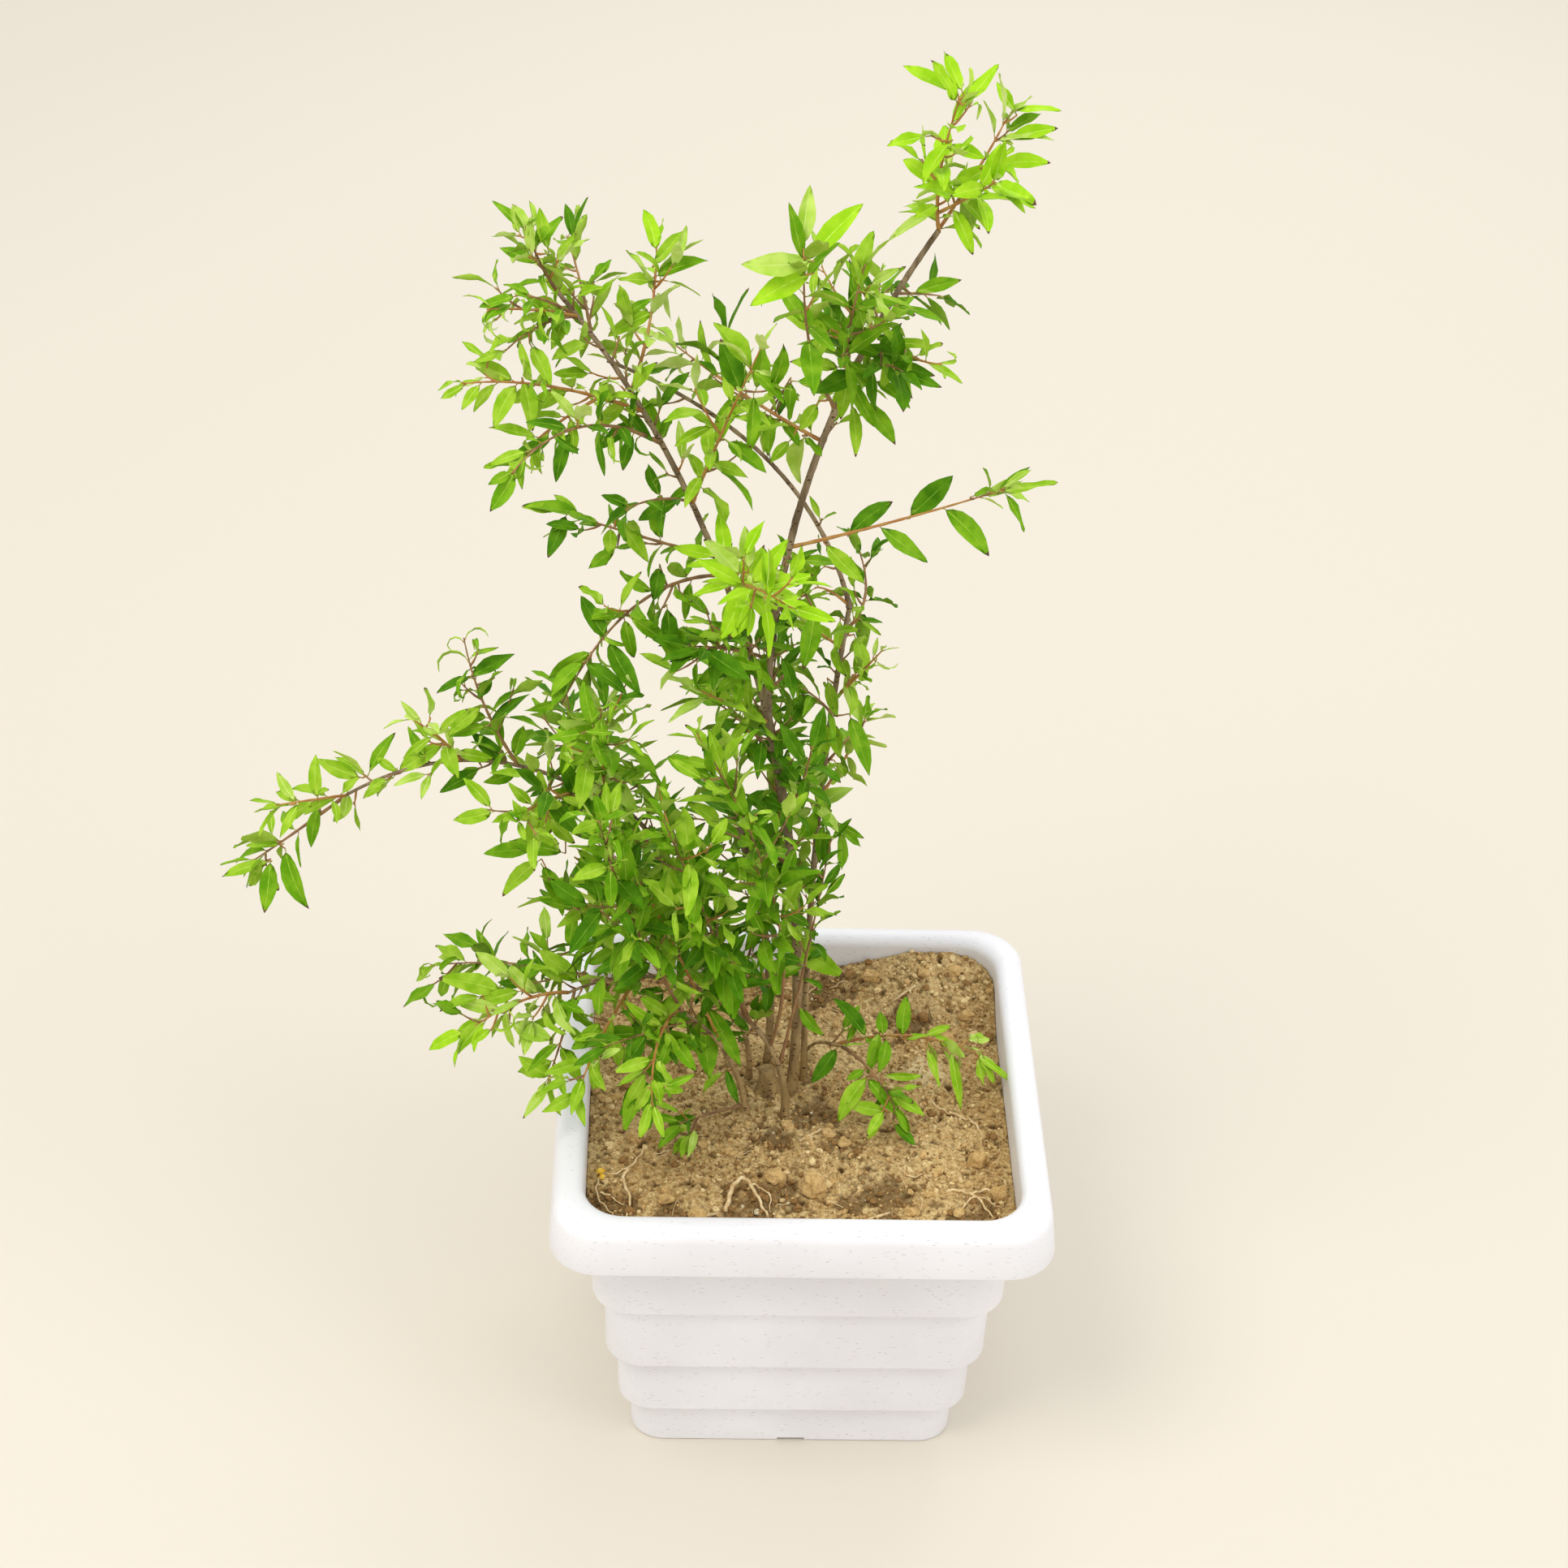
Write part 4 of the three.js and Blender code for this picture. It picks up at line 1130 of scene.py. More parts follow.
# Finer shoots between them, from the nearest wood: foot, half way and tip by the pixel where
# each shows and its y, then leaf and look.
FINER = {
    "top_front": ((1165, 262, 18), (1200, 240, -5), (1225, 225, -25), 34, "young"),
    "crown_front": ((1050, 462, 15), (1085, 450, -10), (1112, 458, -28), 28, "mid"),
    "crown_rear": ((1112, 366, 17), (1135, 362, 30), (1160, 365, 40), 28, "deep"),
    "left_rise": ((705, 390, 27), (672, 370, 14), (635, 364, 3), 22, "mid"),
    "left_side": ((708, 392, 27), (664, 402, 4), (620, 435, -22), 22, "mid"),
    "left_lower": ((722, 497, 8), (676, 530, -25), (636, 570, -46), 24, "fresh"),
    "left_inner": ((852, 619, 12), (812, 615, 0), (770, 628, -15), 26, "deep"),
    "right_a": ((1043, 790, 43), (1049, 772, 46), (1053, 760, 52), 20, "mid"),
    "right_b": ((1036, 850, 40), (1048, 838, 32), (1060, 824, 26), 24, "fresh"),
    "right_c": ((1018, 945, 36), (1034, 922, 44), (1046, 908, 55), 25, "deep"),
    "right_d": ((1008, 1020, 33), (1024, 1012, 22), (1038, 1024, 10), 25, "mid"),
    "centre_a": ((947, 800, 8), (915, 790, -15), (875, 770, -35), 27, "mid"),
    "centre_b": ((948, 890, 6), (905, 870, -20), (860, 850, -40), 27, "fresh"),
    "centre_c": ((955, 935, 6), (925, 900, 35), (890, 870, 60), 27, "deep"),
    "centre_d": ((965, 1010, 7), (990, 960, -15), (1000, 920, -30), 26, "mid"),
    "centre_e": ((972, 1060, 7), (935, 1030, 30), (905, 1000, 60), 27, "deep"),
    "centre_f": ((946, 850, 6), (975, 820, 30), (990, 780, 55), 26, "deep"),
    "thin_upright": ((941, 1035, 5), (950, 900, 12), (965, 761, 15), 25, "mid"),
    "arch_low": ((425, 980, -5), (395, 984, -25), (340, 992, -40), 23, "fresh"),
    "arch_shoot": ((745, 985, 5), (742, 932, -20), (740, 873, -35), 28, "fresh"),
    "heart_a": ((890, 1290, -15), (812, 1129, -50), (745, 1010, -72), 28, "mid"),
    "heart_b": ((905, 1270, -12), (870, 1130, -42), (820, 1005, -68), 28, "mid"),
    "heart_d": ((830, 1200, -40), (788, 1142, -55), (760, 1105, -62), 28, "fresh"),
    "heart_e": ((905, 1245, -4), (870, 1110, 14), (805, 985, 22), 28, "deep"),
    "heart_f": ((905, 1245, 8), (940, 1110, 30), (965, 975, 52), 28, "deep"),
    "low_a": ((830, 1200, -12), (745, 1165, 2), (645, 1203, 12), 26, "mid"),
    "low_b": ((715, 1233, -30), (692, 1280, -46), (675, 1330, -60), 27, "fresh"),
    "low_c": ((802, 1259, -40), (793, 1300, -58), (785, 1345, -75), 28, "mid"),
    "low_d": ((870, 1230, -30), (812, 1268, -62), (745, 1290, -90), 28, "mid"),
    "between_a": ((1036, 800, 42), (1016, 784, 30), (996, 772, 20), 27, "mid"),
    "between_b": ((1042, 745, 46), (1022, 728, 40), (1004, 724, 36), 27, "mid"),
    "between_c": ((1028, 880, 40), (1008, 862, 28), (990, 848, 18), 27, "mid"),
    "between_d": ((1012, 1000, 34), (996, 985, 24), (985, 965, 14), 26, "fresh"),
}
# Short spurs straight off the limbs: limb, from, to, how many, length, leaf, look.
SPURS = [
    ("main_stem", 0.4, 1.0, 16, 22, 25, "deep"),
    ("right_leader", 0.02, 0.3, 8, 20, 25, "deep"),
    ("right_leader", 0.52, 0.84, 5, 16, 27, "mid"),
    ("left_leader", 0.1, 0.34, 3, 14, 24, "mid"),
    ("left_leader", 0.5, 1.0, 16, 18, 26, "mid"),
    ("rear_stem", 0.28, 1.0, 16, 7, 22, "mid"),
    ("rear_arch", 0.0, 0.32, 2, 12, 23, "mid"),
    ("rear_arch", 0.72, 1.0, 3, 12, 24, "mid"),
    ("arch_bough", 0.25, 1.0, 18, 26, 26, "deep"),
    ("arch_end", 0.02, 0.98, 14, 12, 25, "mid"),
    ("low_bough", 0.3, 1.0, 10, 16, 26, "mid"),
    ("front_bough", 0.35, 1.0, 6, 14, 28, "mid"),
    ("front_stem", 0.6, 1.0, 3, 14, 25, "deep"),
    ("cut_stem", 0.4, 0.92, 7, 24, 26, "deep"),
    ("left_rear_stem", 0.5, 1.0, 4, 20, 27, "deep"),
    ("right_sucker", 0.55, 1.0, 2, 10, 24, "mid"),
]
# Leaves that stand clear of the rest: look, what carries them, then for each leaf the pixel
# of its foot, the pixel of its tip and, where unusual, its width as a share of its length.
CLEAR_LEAVES = {
    "top": ("young", ("top", "top_right", "top_front", "right_leader"), [
        (1175, 113, 1110, 86), (1185, 111, 1161, 63), (1190, 126, 1234, 81),
        (1250, 137, 1226, 102), (1252, 137, 1307, 126, 0.28), (1245, 172, 1301, 150),
        (1230, 204, 1293, 188), (1228, 226, 1264, 262), (1203, 222, 1186, 300),
        (1222, 205, 1163, 233), (1170, 176, 1126, 223), (1142, 168, 1091, 177),
        (1150, 262, 1093, 291, 0.26),
    ]),
    # Painted sunlight: these take the pale look, lighter as if the sun were on them.
    "upper tip": ("pale", ("upper_tip",), [
        (990, 300, 992, 228), (1003, 313, 1058, 247), (998, 322, 915, 340), (998, 338, 920, 368),
    ]),
    "right leader": ("mid", ("right_leader", "upper_right", "upper_front", "crown_front"), [
        (1088, 437, 1127, 490, 0.4), (1080, 470, 1125, 498), (1062, 495, 1112, 542),
        (1128, 360, 1184, 342), (1106, 377, 1170, 391, 0.26), (1045, 432, 1137, 432, 0.22),
        (1045, 465, 1035, 517), (1035, 400, 1014, 343), (1046, 447, 1085, 478, 0.45),
        (1050, 500, 1065, 563, 0.25), (1042, 424, 1085, 434, 0.42),
    ]),
    "crown heart": ("mid", ("upper_front", "centre_top", "right_leader", "crossing"), [
        (925, 456, 884, 392, 0.44), (913, 481, 883, 419, 0.44), (928, 457, 972, 493, 0.4),
        (916, 487, 875, 532, 0.4), (949, 511, 946, 562, 0.32), (974, 470, 971, 518, 0.36),
        (1006, 498, 988, 531, 0.5), (972, 544, 949, 569, 0.42), (981, 470, 1022, 475, 0.42),
        (1021, 410, 992, 450, 0.4), (884, 462, 860, 445, 0.5), (943, 507, 920, 558, 0.42),
        (965, 517, 983, 550, 0.45), (992, 540, 1016, 562, 0.42), (897, 545, 943, 584, 0.42),
        (1022, 412, 968, 378), (1032, 452, 972, 448),
    ]),
    "left top": ("fresh", ("left_leader", "left_top", "left_top_side", "left_outer"), [
        (655, 302, 637, 248, 0.38), (675, 306, 660, 257), (686, 318, 707, 285, 0.26),
        (655, 427, 682, 475, 0.4), (645, 470, 668, 530), (597, 440, 568, 420, 0.28),
    ]),
    "upright left": ("fresh", ("upright_left",), [
        (807, 325, 842, 285), (810, 340, 869, 310), (808, 346, 761, 344),
        (805, 368, 763, 386, 0.26), (803, 385, 748, 412),
    ]),
    "left mid": ("mid", ("left_mid", "left_inner", "left_leader"), [
        (775, 507, 800, 547), (776, 520, 741, 558), (712, 632, 643, 620), (697, 636, 677, 688),
        (752, 652, 750, 685, 0.55), (757, 676, 726, 702, 0.42), (762, 640, 800, 692),
        (812, 700, 808, 740, 0.5), (855, 600, 822, 618, 0.42),
    ]),
    "left droop": ("mid", ("left_droop",), [
        (776, 760, 722, 752), (747, 785, 710, 738, 0.4), (778, 762, 828, 793),
        (751, 792, 779, 862), (722, 818, 776, 850), (718, 816, 670, 850), (822, 750, 832, 812),
        (842, 732, 876, 755, 0.4),
    ]),
    "centre front": ("young", ("centre_front",), [
        (905, 700, 843, 697), (918, 725, 864, 714), (895, 690, 888, 630),
        (922, 700, 918, 648, 0.42), (950, 722, 1003, 710), (947, 735, 943, 672),
        (915, 725, 898, 792), (942, 742, 957, 810, 0.26), (882, 685, 828, 677),
    ]),
    "right reach": ("mid", ("right_reach",), [
        (1048, 657, 1092, 609, 0.4), (1085, 650, 1140, 696), (1122, 635, 1176, 588, 0.45),
        (1165, 628, 1228, 676), (1200, 611, 1228, 599, 0.4), (1232, 604, 1264, 570, 0.2),
        (1236, 605, 1305, 599, 0.2), (1238, 607, 1268, 652, 0.2), (983, 690, 1042, 692),
        (1018, 672, 1058, 724), (1003, 755, 1000, 826),
    ]),
    "right side": ("fresh", ("rear_stem",), [
        (1054, 786, 1074, 836, 0.42), (1055, 833, 1074, 841, 0.5), (1044, 828, 1048, 877),
        (1048, 884, 1073, 955), (1026, 892, 1032, 934, 0.45), (1020, 893, 1003, 945, 0.42),
        (1062, 765, 1085, 784, 0.26), (1048, 752, 1063, 748, 0.45), (1020, 840, 1028, 884),
        (1012, 996, 1029, 973, 0.28), (1035, 765, 1033, 808, 0.28), (1030, 940, 1043, 955, 0.45),
    ]),
    "arch": ("fresh", ("arch_end", "arch_tip", "arch_low", "arch_up_left"), [
        (333, 1063, 332, 1124), (352, 1050, 368, 1123), (330, 1062, 271, 1073, 0.26),
        (345, 1040, 303, 1045, 0.4), (362, 986, 338, 953), (391, 982, 382, 930),
        (358, 992, 312, 997, 0.24), (442, 957, 388, 940), (455, 952, 478, 897, 0.26),
        (488, 950, 460, 934), (492, 951, 545, 911), (428, 979, 428, 1008, 0.55),
        (392, 996, 378, 1042),
    ]),
    "arch up": ("mid", ("arch_up", "arch_end"), [
        (605, 890, 650, 850), (598, 895, 552, 900), (592, 872, 548, 900), (578, 835, 537, 852),
        (580, 833, 634, 805), (606, 838, 587, 858, 0.55), (635, 932, 642, 893, 0.5),
        (625, 940, 578, 905), (590, 948, 543, 977),
    ]),
    "heart left": ("mid", ("heart_left", "arch_bough"), [
        (692, 1050, 628, 1032), (655, 1048, 596, 1043), (663, 1061, 612, 1095),
        (669, 1068, 704, 1124), (712, 1058, 756, 1078, 0.4), (690, 985, 672, 1034),
    ]),
    "low left": ("fresh", ("low_bough", "low_tip", "low_b", "low_rear"), [
        (617, 1221, 543, 1196), (590, 1228, 540, 1240), (712, 1208, 660, 1175, 0.42),
        (684, 1228, 697, 1262, 0.5), (677, 1175, 654, 1145), (725, 1188, 778, 1162),
        (597, 1257, 557, 1294), (676, 1326, 636, 1306, 0.45), (676, 1334, 650, 1381, 0.28),
        (691, 1290, 720, 1342), (632, 1262, 680, 1282, 0.5),
    ]),
    "front": ("mid", ("front", "front_bough", "low_c"), [
        (792, 1274, 727, 1270), (788, 1312, 739, 1280), (795, 1320, 841, 1270),
        (800, 1280, 873, 1280, 0.4), (795, 1282, 834, 1231, 0.42), (802, 1340, 845, 1340),
        (790, 1335, 768, 1394),
    ]),
    "low stems": ("mid", ("front_stem", "cut_stem", "right_front", "left_stem"), [
        (935, 1045, 918, 1100, 0.4), (948, 1070, 1006, 1097), (952, 1118, 922, 1173, 0.38),
        (963, 1152, 1038, 1206), (990, 1190, 938, 1213, 0.28), (985, 1242, 1010, 1280),
        (947, 1212, 947, 1248, 0.45), (872, 1214, 905, 1246), (873, 1242, 914, 1312, 0.28),
        (895, 1318, 906, 1362, 0.26), (890, 1322, 860, 1342), (868, 1250, 868, 1328, 0.4),
    ]),
    "foot": ("fresh", ("foot_shoot",), [(856, 1392, 854, 1448, 0.24), (848, 1386, 820, 1402)]),
    "sucker front": ("mid", ("right_sucker", "sucker_front"), [
        (1030, 1293, 1004, 1336, 0.38), (1066, 1276, 1034, 1224), (1044, 1284, 1058, 1250, 0.28),
        (1088, 1274, 1086, 1246, 0.55), (1112, 1276, 1112, 1225), (1068, 1328, 1022, 1373),
        (1070, 1330, 1108, 1376), (1098, 1352, 1143, 1366), (1092, 1370, 1042, 1362),
        (1103, 1385, 1126, 1412, 0.45), (1083, 1273, 1072, 1322), (1092, 1281, 1090, 1322, 0.42),
        (1066, 1280, 1084, 1290, 0.5), (1064, 1318, 1044, 1333, 0.45),
    ]),
    "sucker side": ("fresh", ("sucker_side",), [
        (1116, 1280, 1143, 1273, 0.4), (1142, 1292, 1158, 1339, 0.24),
        (1172, 1296, 1185, 1366, 0.2), (1205, 1302, 1250, 1328, 0.2), (1205, 1304, 1210, 1338),
        (1208, 1304, 1228, 1336, 0.26), (1172, 1290, 1150, 1272, 0.4),
        (1090, 1325, 1137, 1332, 0.24),
    ]),
}
# Twigs: radii at a shoot's foot, a side twig's foot and a tip, then how they grow.
TWIG = {"foot": 1.05, "side": 0.68, "tip": 0.36, "rise": 0.16, "lean": 52, "spacing": 12.0}
TWIG_CHECK = 9  # how far up a side twig its room is looked at
TWIG_STEP, TWIG_JOINT = 5, 0.22
CLEAR = {"limb": 1.5, "soil": 2.0, "rim": 3.0, "blend": 6.0}
TURNS = (0, 35, -35, 70, -70)

shoot_bows = {
    name: Bow(bows[row[0][0]].point(row[0][1]), row[1], row[2]) for name, row in SHOOTS.items()
}


def tree_of(curves, step):
    """A k-d tree of points along named curves, and the name for each point."""
    samples = []
    for name, bow in curves.items():
        count = max(3, round(bow.length / step))
        samples += [(bow.point(i / count), name) for i in range(count + 1)]
    found = kdtree.KDTree(len(samples))
    for i, (point, _) in enumerate(samples):
        found.insert(point, i)
    found.balance()
    return found, [name for _, name in samples]


shoot_tree, _ = tree_of(shoot_bows, 3.0)
limb_tree, limb_names = tree_of(bows, 2.0)
wood_tree, _ = tree_of({**bows, **shoot_bows}, 1.0)
finer_bows = {}
for name, (foot, via, tip, _, _) in FINER.items():
    foot, via, tip = (seen_at(px, py, 1, y) for px, py, y in (foot, via, tip))
    finer_bows[name] = Bow(wood_tree.find(foot)[0], via, tip)
own_trees = {name: tree_of({name: bow}, 3.0)[0] for name, bow in shoot_bows.items()}


def is_free(shoot, p):
    """Whether a point is in the shoot's own space, or in anyone's where it has none."""
    if shoot and own_trees[shoot].find(p)[2] > shoot_tree.find(p)[2] + CLEAR["blend"]:
        return False
    _, index, distance = limb_tree.find(p)
    if distance < LIMBS[limb_names[index]][3][1] + CLEAR["limb"]:
        return False
    away = max(abs(p.x), abs(p.y))
    rim = PLANTER["rim"]
    if away < rim["half"] - rim["band"] - CLEAR["rim"]:
        return p.z > ground_height(p.x, p.y) + CLEAR["soil"]
    return away > rim["half"] + CLEAR["rim"] or p.z > PLANTER["height"] + CLEAR["rim"]


print("shoots:", len(shoot_bows), "finer:", len(FINER), "spurs:", sum(row[3] for row in SPURS))


# %% Twigs and leaf pairs
LEAF = {"width": 0.34, "light": 0.5, "stalk": 2.4}
CURLED = {"left_outer", "left_outer_low", "left_top_side", "arch_up", "left_upright"}
# The share of a shoot's foot that has lost its leaves, where that is more than a tenth.
BARE = {
    "right_front": 0.5, "tall_shoot": 0.36, "inner_shoot": 0.3, "upper_tip": 0.5,
    "right_reach": 0.86, "arch_tip": 0.5, "sucker_side": 0.6, "sucker_front": 0.5,
    "foot_shoot": 0.6, "outer_shoot": 0.25,
}
# How a pair stands: angles off the twig, their wander, sizes, sag, and places on the twig.
PAIR = {
    "opens": (28, 34), "leans": 40, "turns": 50, "size": (0.7, 0.42), "newest": 0.86,
    "sag": (0.04, 0.4), "back": 0.3, "apart": 0.12,
}
# Side twigs: where on a shoot the first and last stand, their lengths, and the turn between.
SIDE = {"first": 0.04, "last": 0.88, "long": (0.62, 0.46), "taper": (1.1, -0.35), "turn": 137.5}
SPUR_LONG, FINER_BARE, FINER_THICK = (0.35, 0.8), 0.12, 0.85
SEEN = {"width": 0.36, "age": 0.5, "nearer": (0.12, 0.14), "sag": 0.5, "steps": 60}
SUNNY = Vector((0, -0.45, 0.9))
# Each leaf has seven draws of its own. The first also says whether it is curled up.
ROLL, WIDE, CURL, TWIST, SWAY, PHASE, SAG = range(7)


def leaning(axes, angle, turn):
    """A direction that leans off a curve, at a turn round it, both in degrees."""
    along, across, out = axes
    lean, turned = math.radians(angle), math.radians(turn)
    side = across * math.cos(turned) + out * math.sin(turned)
    return along * math.cos(lean) + side * math.sin(lean)


def side_twig(shoot, bow, share, turn, length):
    """A side twig that curves up towards the light, or None where there is no room."""
    root, axes = bow.point(share), bow.frame(share)
    for more in TURNS:
        along = leaning(axes, TWIG["lean"], turn + more)
        tip = root + along * length + UP * (TWIG["rise"] * length)
        via = root + along * (length / 2)
        if is_free(shoot, tip) and is_free(shoot, root + along * min(length, TWIG_CHECK)):
            return Bow(root, via, tip)
    return None


def leaf_here(shoot, axes, root, angle, turn, length, sag):
    """A leaf's place and pose, or None where there is no room for it."""
    facing = axes[0].lerp(UP, LEAF["light"])
    for more in TURNS:
        along = (leaning(axes, angle, turn + more) - UP * sag).normalized()
        end = root + along * (length + LEAF["stalk"])
        if is_free(shoot, end) and is_free(shoot, (root + end) / 2):
            normal = (facing - along * facing.dot(along)).normalized()
            return {"root": root, "along": along, "normal": normal, "length": length}
    return None


def leaf_pairs(shoot, bow, first, size, draw):
    """Pairs of leaves along a stem or twig, opening wider and larger with age."""
    nodes = max(1, round(bow.length / TWIG["spacing"]))
    leaves = []
    start = draw() * 360
    for node in range(first, nodes + 1):
        age = 1 - node / nodes
        for side in (0, 1):
            angle = ranged(PAIR["opens"], min(1, 2 * age)) + (draw() - 0.5) * PAIR["leans"]
            turn = start + node * 90 + side * 180 + (draw() - 0.5) * PAIR["turns"]
            length = size * ranged(PAIR["size"], draw()) * (PAIR["newest"] if age < 0.1 else 1)
            share = (node - PAIR["back"] + side * PAIR["apart"]) / nodes
            draws = [draw() for _ in range(7)]
            sag = ranged(PAIR["sag"], age) * draws[SAG]
            leaf = leaf_here(shoot, bow.frame(share), bow.point(share), angle, turn, length, sag)
            if leaf:
                leaf.update(age=age, draws=draws)
                leaves.append(leaf)
    return leaves


sprays = []  # each is one stem or twig with its leaves


def add_spray(bow, leaves, look, thick, curled=False):
    sprays.append({"bow": bow, "leaves": leaves, "look": look, "thick": thick, "curled": curled})


for seed, (shoot, (on, via, tip, reach, count, size, look)) in enumerate(SHOOTS.items(), start=1):
    draw = seeded(seed)
    bow = shoot_bows[shoot]
    bare = BARE.get(shoot, 0.1)
    first = max(1, math.ceil(bare * bow.length / TWIG["spacing"]))
    curled = shoot in CURLED
    add_spray(bow, leaf_pairs(shoot, bow, first, size, draw), look, TWIG["foot"], curled)
    for order in range(count):
        share = bare + SIDE["first"] + (SIDE["last"] - bare) * (order + 0.5) / count
        length = reach * ranged(SIDE["long"], draw()) * ranged(SIDE["taper"], share)
        twig = side_twig(shoot, bow, share, order * SIDE["turn"] + draw() * 50, length)
        if twig:
            add_spray(twig, leaf_pairs(shoot, twig, 1, size, draw), look, TWIG["side"], curled)

for seed, (name, (*_, size, look)) in enumerate(FINER.items(), start=101):
    draw = seeded(seed)
    bow = finer_bows[name]
    first = max(1, math.ceil(FINER_BARE * bow.length / TWIG["spacing"]))
    add_spray(bow, leaf_pairs(None, bow, first, size, draw), look, TWIG["foot"] * FINER_THICK)

for seed, (limb, start, end, count, reach, size, look) in enumerate(SPURS, start=201):
    draw = seeded(seed)
    for order in range(count):
        share = start + (end - start) * (order + draw()) / count
        length = reach * ranged(SPUR_LONG, draw())
        twig = side_twig(None, bows[limb], share, order * SIDE["turn"] + draw() * 50, length)
        if twig:
            add_spray(twig, leaf_pairs(None, twig, 1, size, draw), look, TWIG["side"])


def clear_leaf(foot, tip, spine):
    """Foot and tip of a leaf that shows between two pixels, as deep as the wood beside it."""
    beside = min(spine, key=lambda point: (pixel_of(point) - Vector(foot)).length)
    depth = (beside - EYE).dot(AHEAD)
    root = EYE + sight(*foot) * depth
    across, down = tip[0] - foot[0], tip[1] - foot[1]
    blade = VIEW_TURN @ Vector((across, -down, 0)) * (depth / FOCAL)
    least, more = SEEN["nearer"]  # a leaf that hangs leans out
    nearer = least + more * max(0, down) / math.hypot(across, down)
    end = root + blade - AHEAD * (blade.length * nearer)
    if max(abs(end.x), abs(end.y)) < SOIL["half"]:
        end.z = max(end.z, ground_height(end.x, end.y) + 2 * CLEAR["soil"])
    return root, end


spray_tree, _ = tree_of({**bows, **{i: spray["bow"] for i, spray in enumerate(sprays)}}, 1.5)
carriers = {**bows, **shoot_bows, **finer_bows}
joining = []
for seed, (look, names, rows) in enumerate(CLEAR_LEAVES.values(), start=301):
    draw = seeded(seed)
    spine = [carriers[name].point(t) for name in names for t in even_shares(SEEN["steps"])]
    for px, py, tip_px, tip_py, *share in rows:
        foot, tip = clear_leaf((px, py), (tip_px, tip_py), spine)
        wood = spray_tree.find(foot)[0]
        along = (tip - foot).normalized()
        root = foot - along * LEAF["stalk"]
        normal = (SUNNY - along * SUNNY.dot(along)).normalized()
        leaf = {"root": root, "along": along, "normal": normal, "length": (tip - foot).length}
        leaf.update(age=SEEN["age"], draws=[draw() for _ in range(7)])
        leaf["share"] = share[0] if share else SEEN["width"]
        joining.append((root - wood).length)
        via = (wood + root) / 2 - UP * SEEN["sag"]
        add_spray(Bow(wood, via, root), [leaf], look, TWIG["side"])
longest = [round(v) for v in sorted(joining)[:-9:-1]]
print("clear leaves:", len(joining), "twigs that join them, longest first:", longest)
print("sprays:", len(sprays), "leaves:", sum(len(s["leaves"]) for s in sprays))

# %% [markdown]
# ## Twig and leaf meshes
# Each kind is one joined mesh filled from arrays. A leaf is lens shaped in section: a top
# with a pale rib down its middle, folded a little along it, and a duller underside that
# shares its rim. The blade is walked from its foot to its tip, bending, twisting and waving
# as it goes. The rim and the rib are marked sharp, so each half of a blade shades as a flat.

# %% Leaf blade
STATIONS = (0.08, 0.22, 0.4, 0.58, 0.76, 0.93)
BLADE, RIB, UNDERSIDE, TIP = 0, 1, 2, 3
ROW = 5  # points in each row across a blade
SHAPE = {"foot": 0.84, "blunt": 0.86}  # a blade is widest before its middle
MIDRIB = {"half": 0.34, "most": 0.4, "deep": 0.26}
WAVE = {"along": 10, "start": 6, "across": 1.3}
LOOSE = {"clear": 0.7, "grown": 1.7, "sway": 0.6}
WITHERED = 0.66  # leaves whose draw is above it have a brown tip


def blade_width(s):
    """Half width of a blade at a share of its length, as a share of its widest."""
    return math.sin(math.pi * s ** SHAPE["foot"]) ** SHAPE["blunt"]


def leaf_faces(tip_kind):
    """Faces of a blade: rows of left edge, two rib lines, right edge and a line below."""
    rows = [[1 + ROW * i + k for k in range(ROW)] for i in range(len(STATIONS))]
    foot, tip = 0, 1 + ROW * len(STATIONS)
    left, rib_left, rib_right, right, below = rows[0]
    faces = [(foot, rib_left, left), (foot, rib_right, rib_left), (foot, right, rib_right)]
    faces += [(foot, left, below), (foot, below, right)]
    kinds = [BLADE, RIB, BLADE, UNDERSIDE, UNDERSIDE]
    for a, b in zip(rows, rows[1:]):
        faces += [(a[k], a[k + 1], b[k + 1], b[k]) for k in range(3)]
        faces += [(a[0], b[0], b[4], a[4]), (a[4], b[4], b[3], a[3])]
        kinds += [BLADE, RIB, BLADE, UNDERSIDE, UNDERSIDE]
    left, rib_left, rib_right, right, below = rows[-1]
    faces += [(left, rib_left, tip), (rib_left, rib_right, tip), (rib_right, right, tip)]
    faces += [(left, tip, below), (below, tip, right)]
    kinds += [tip_kind] * 3 + [UNDERSIDE] * 2
    return faces, kinds


GREEN_TIP, BROWN_TIP = leaf_faces(BLADE), leaf_faces(TIP)


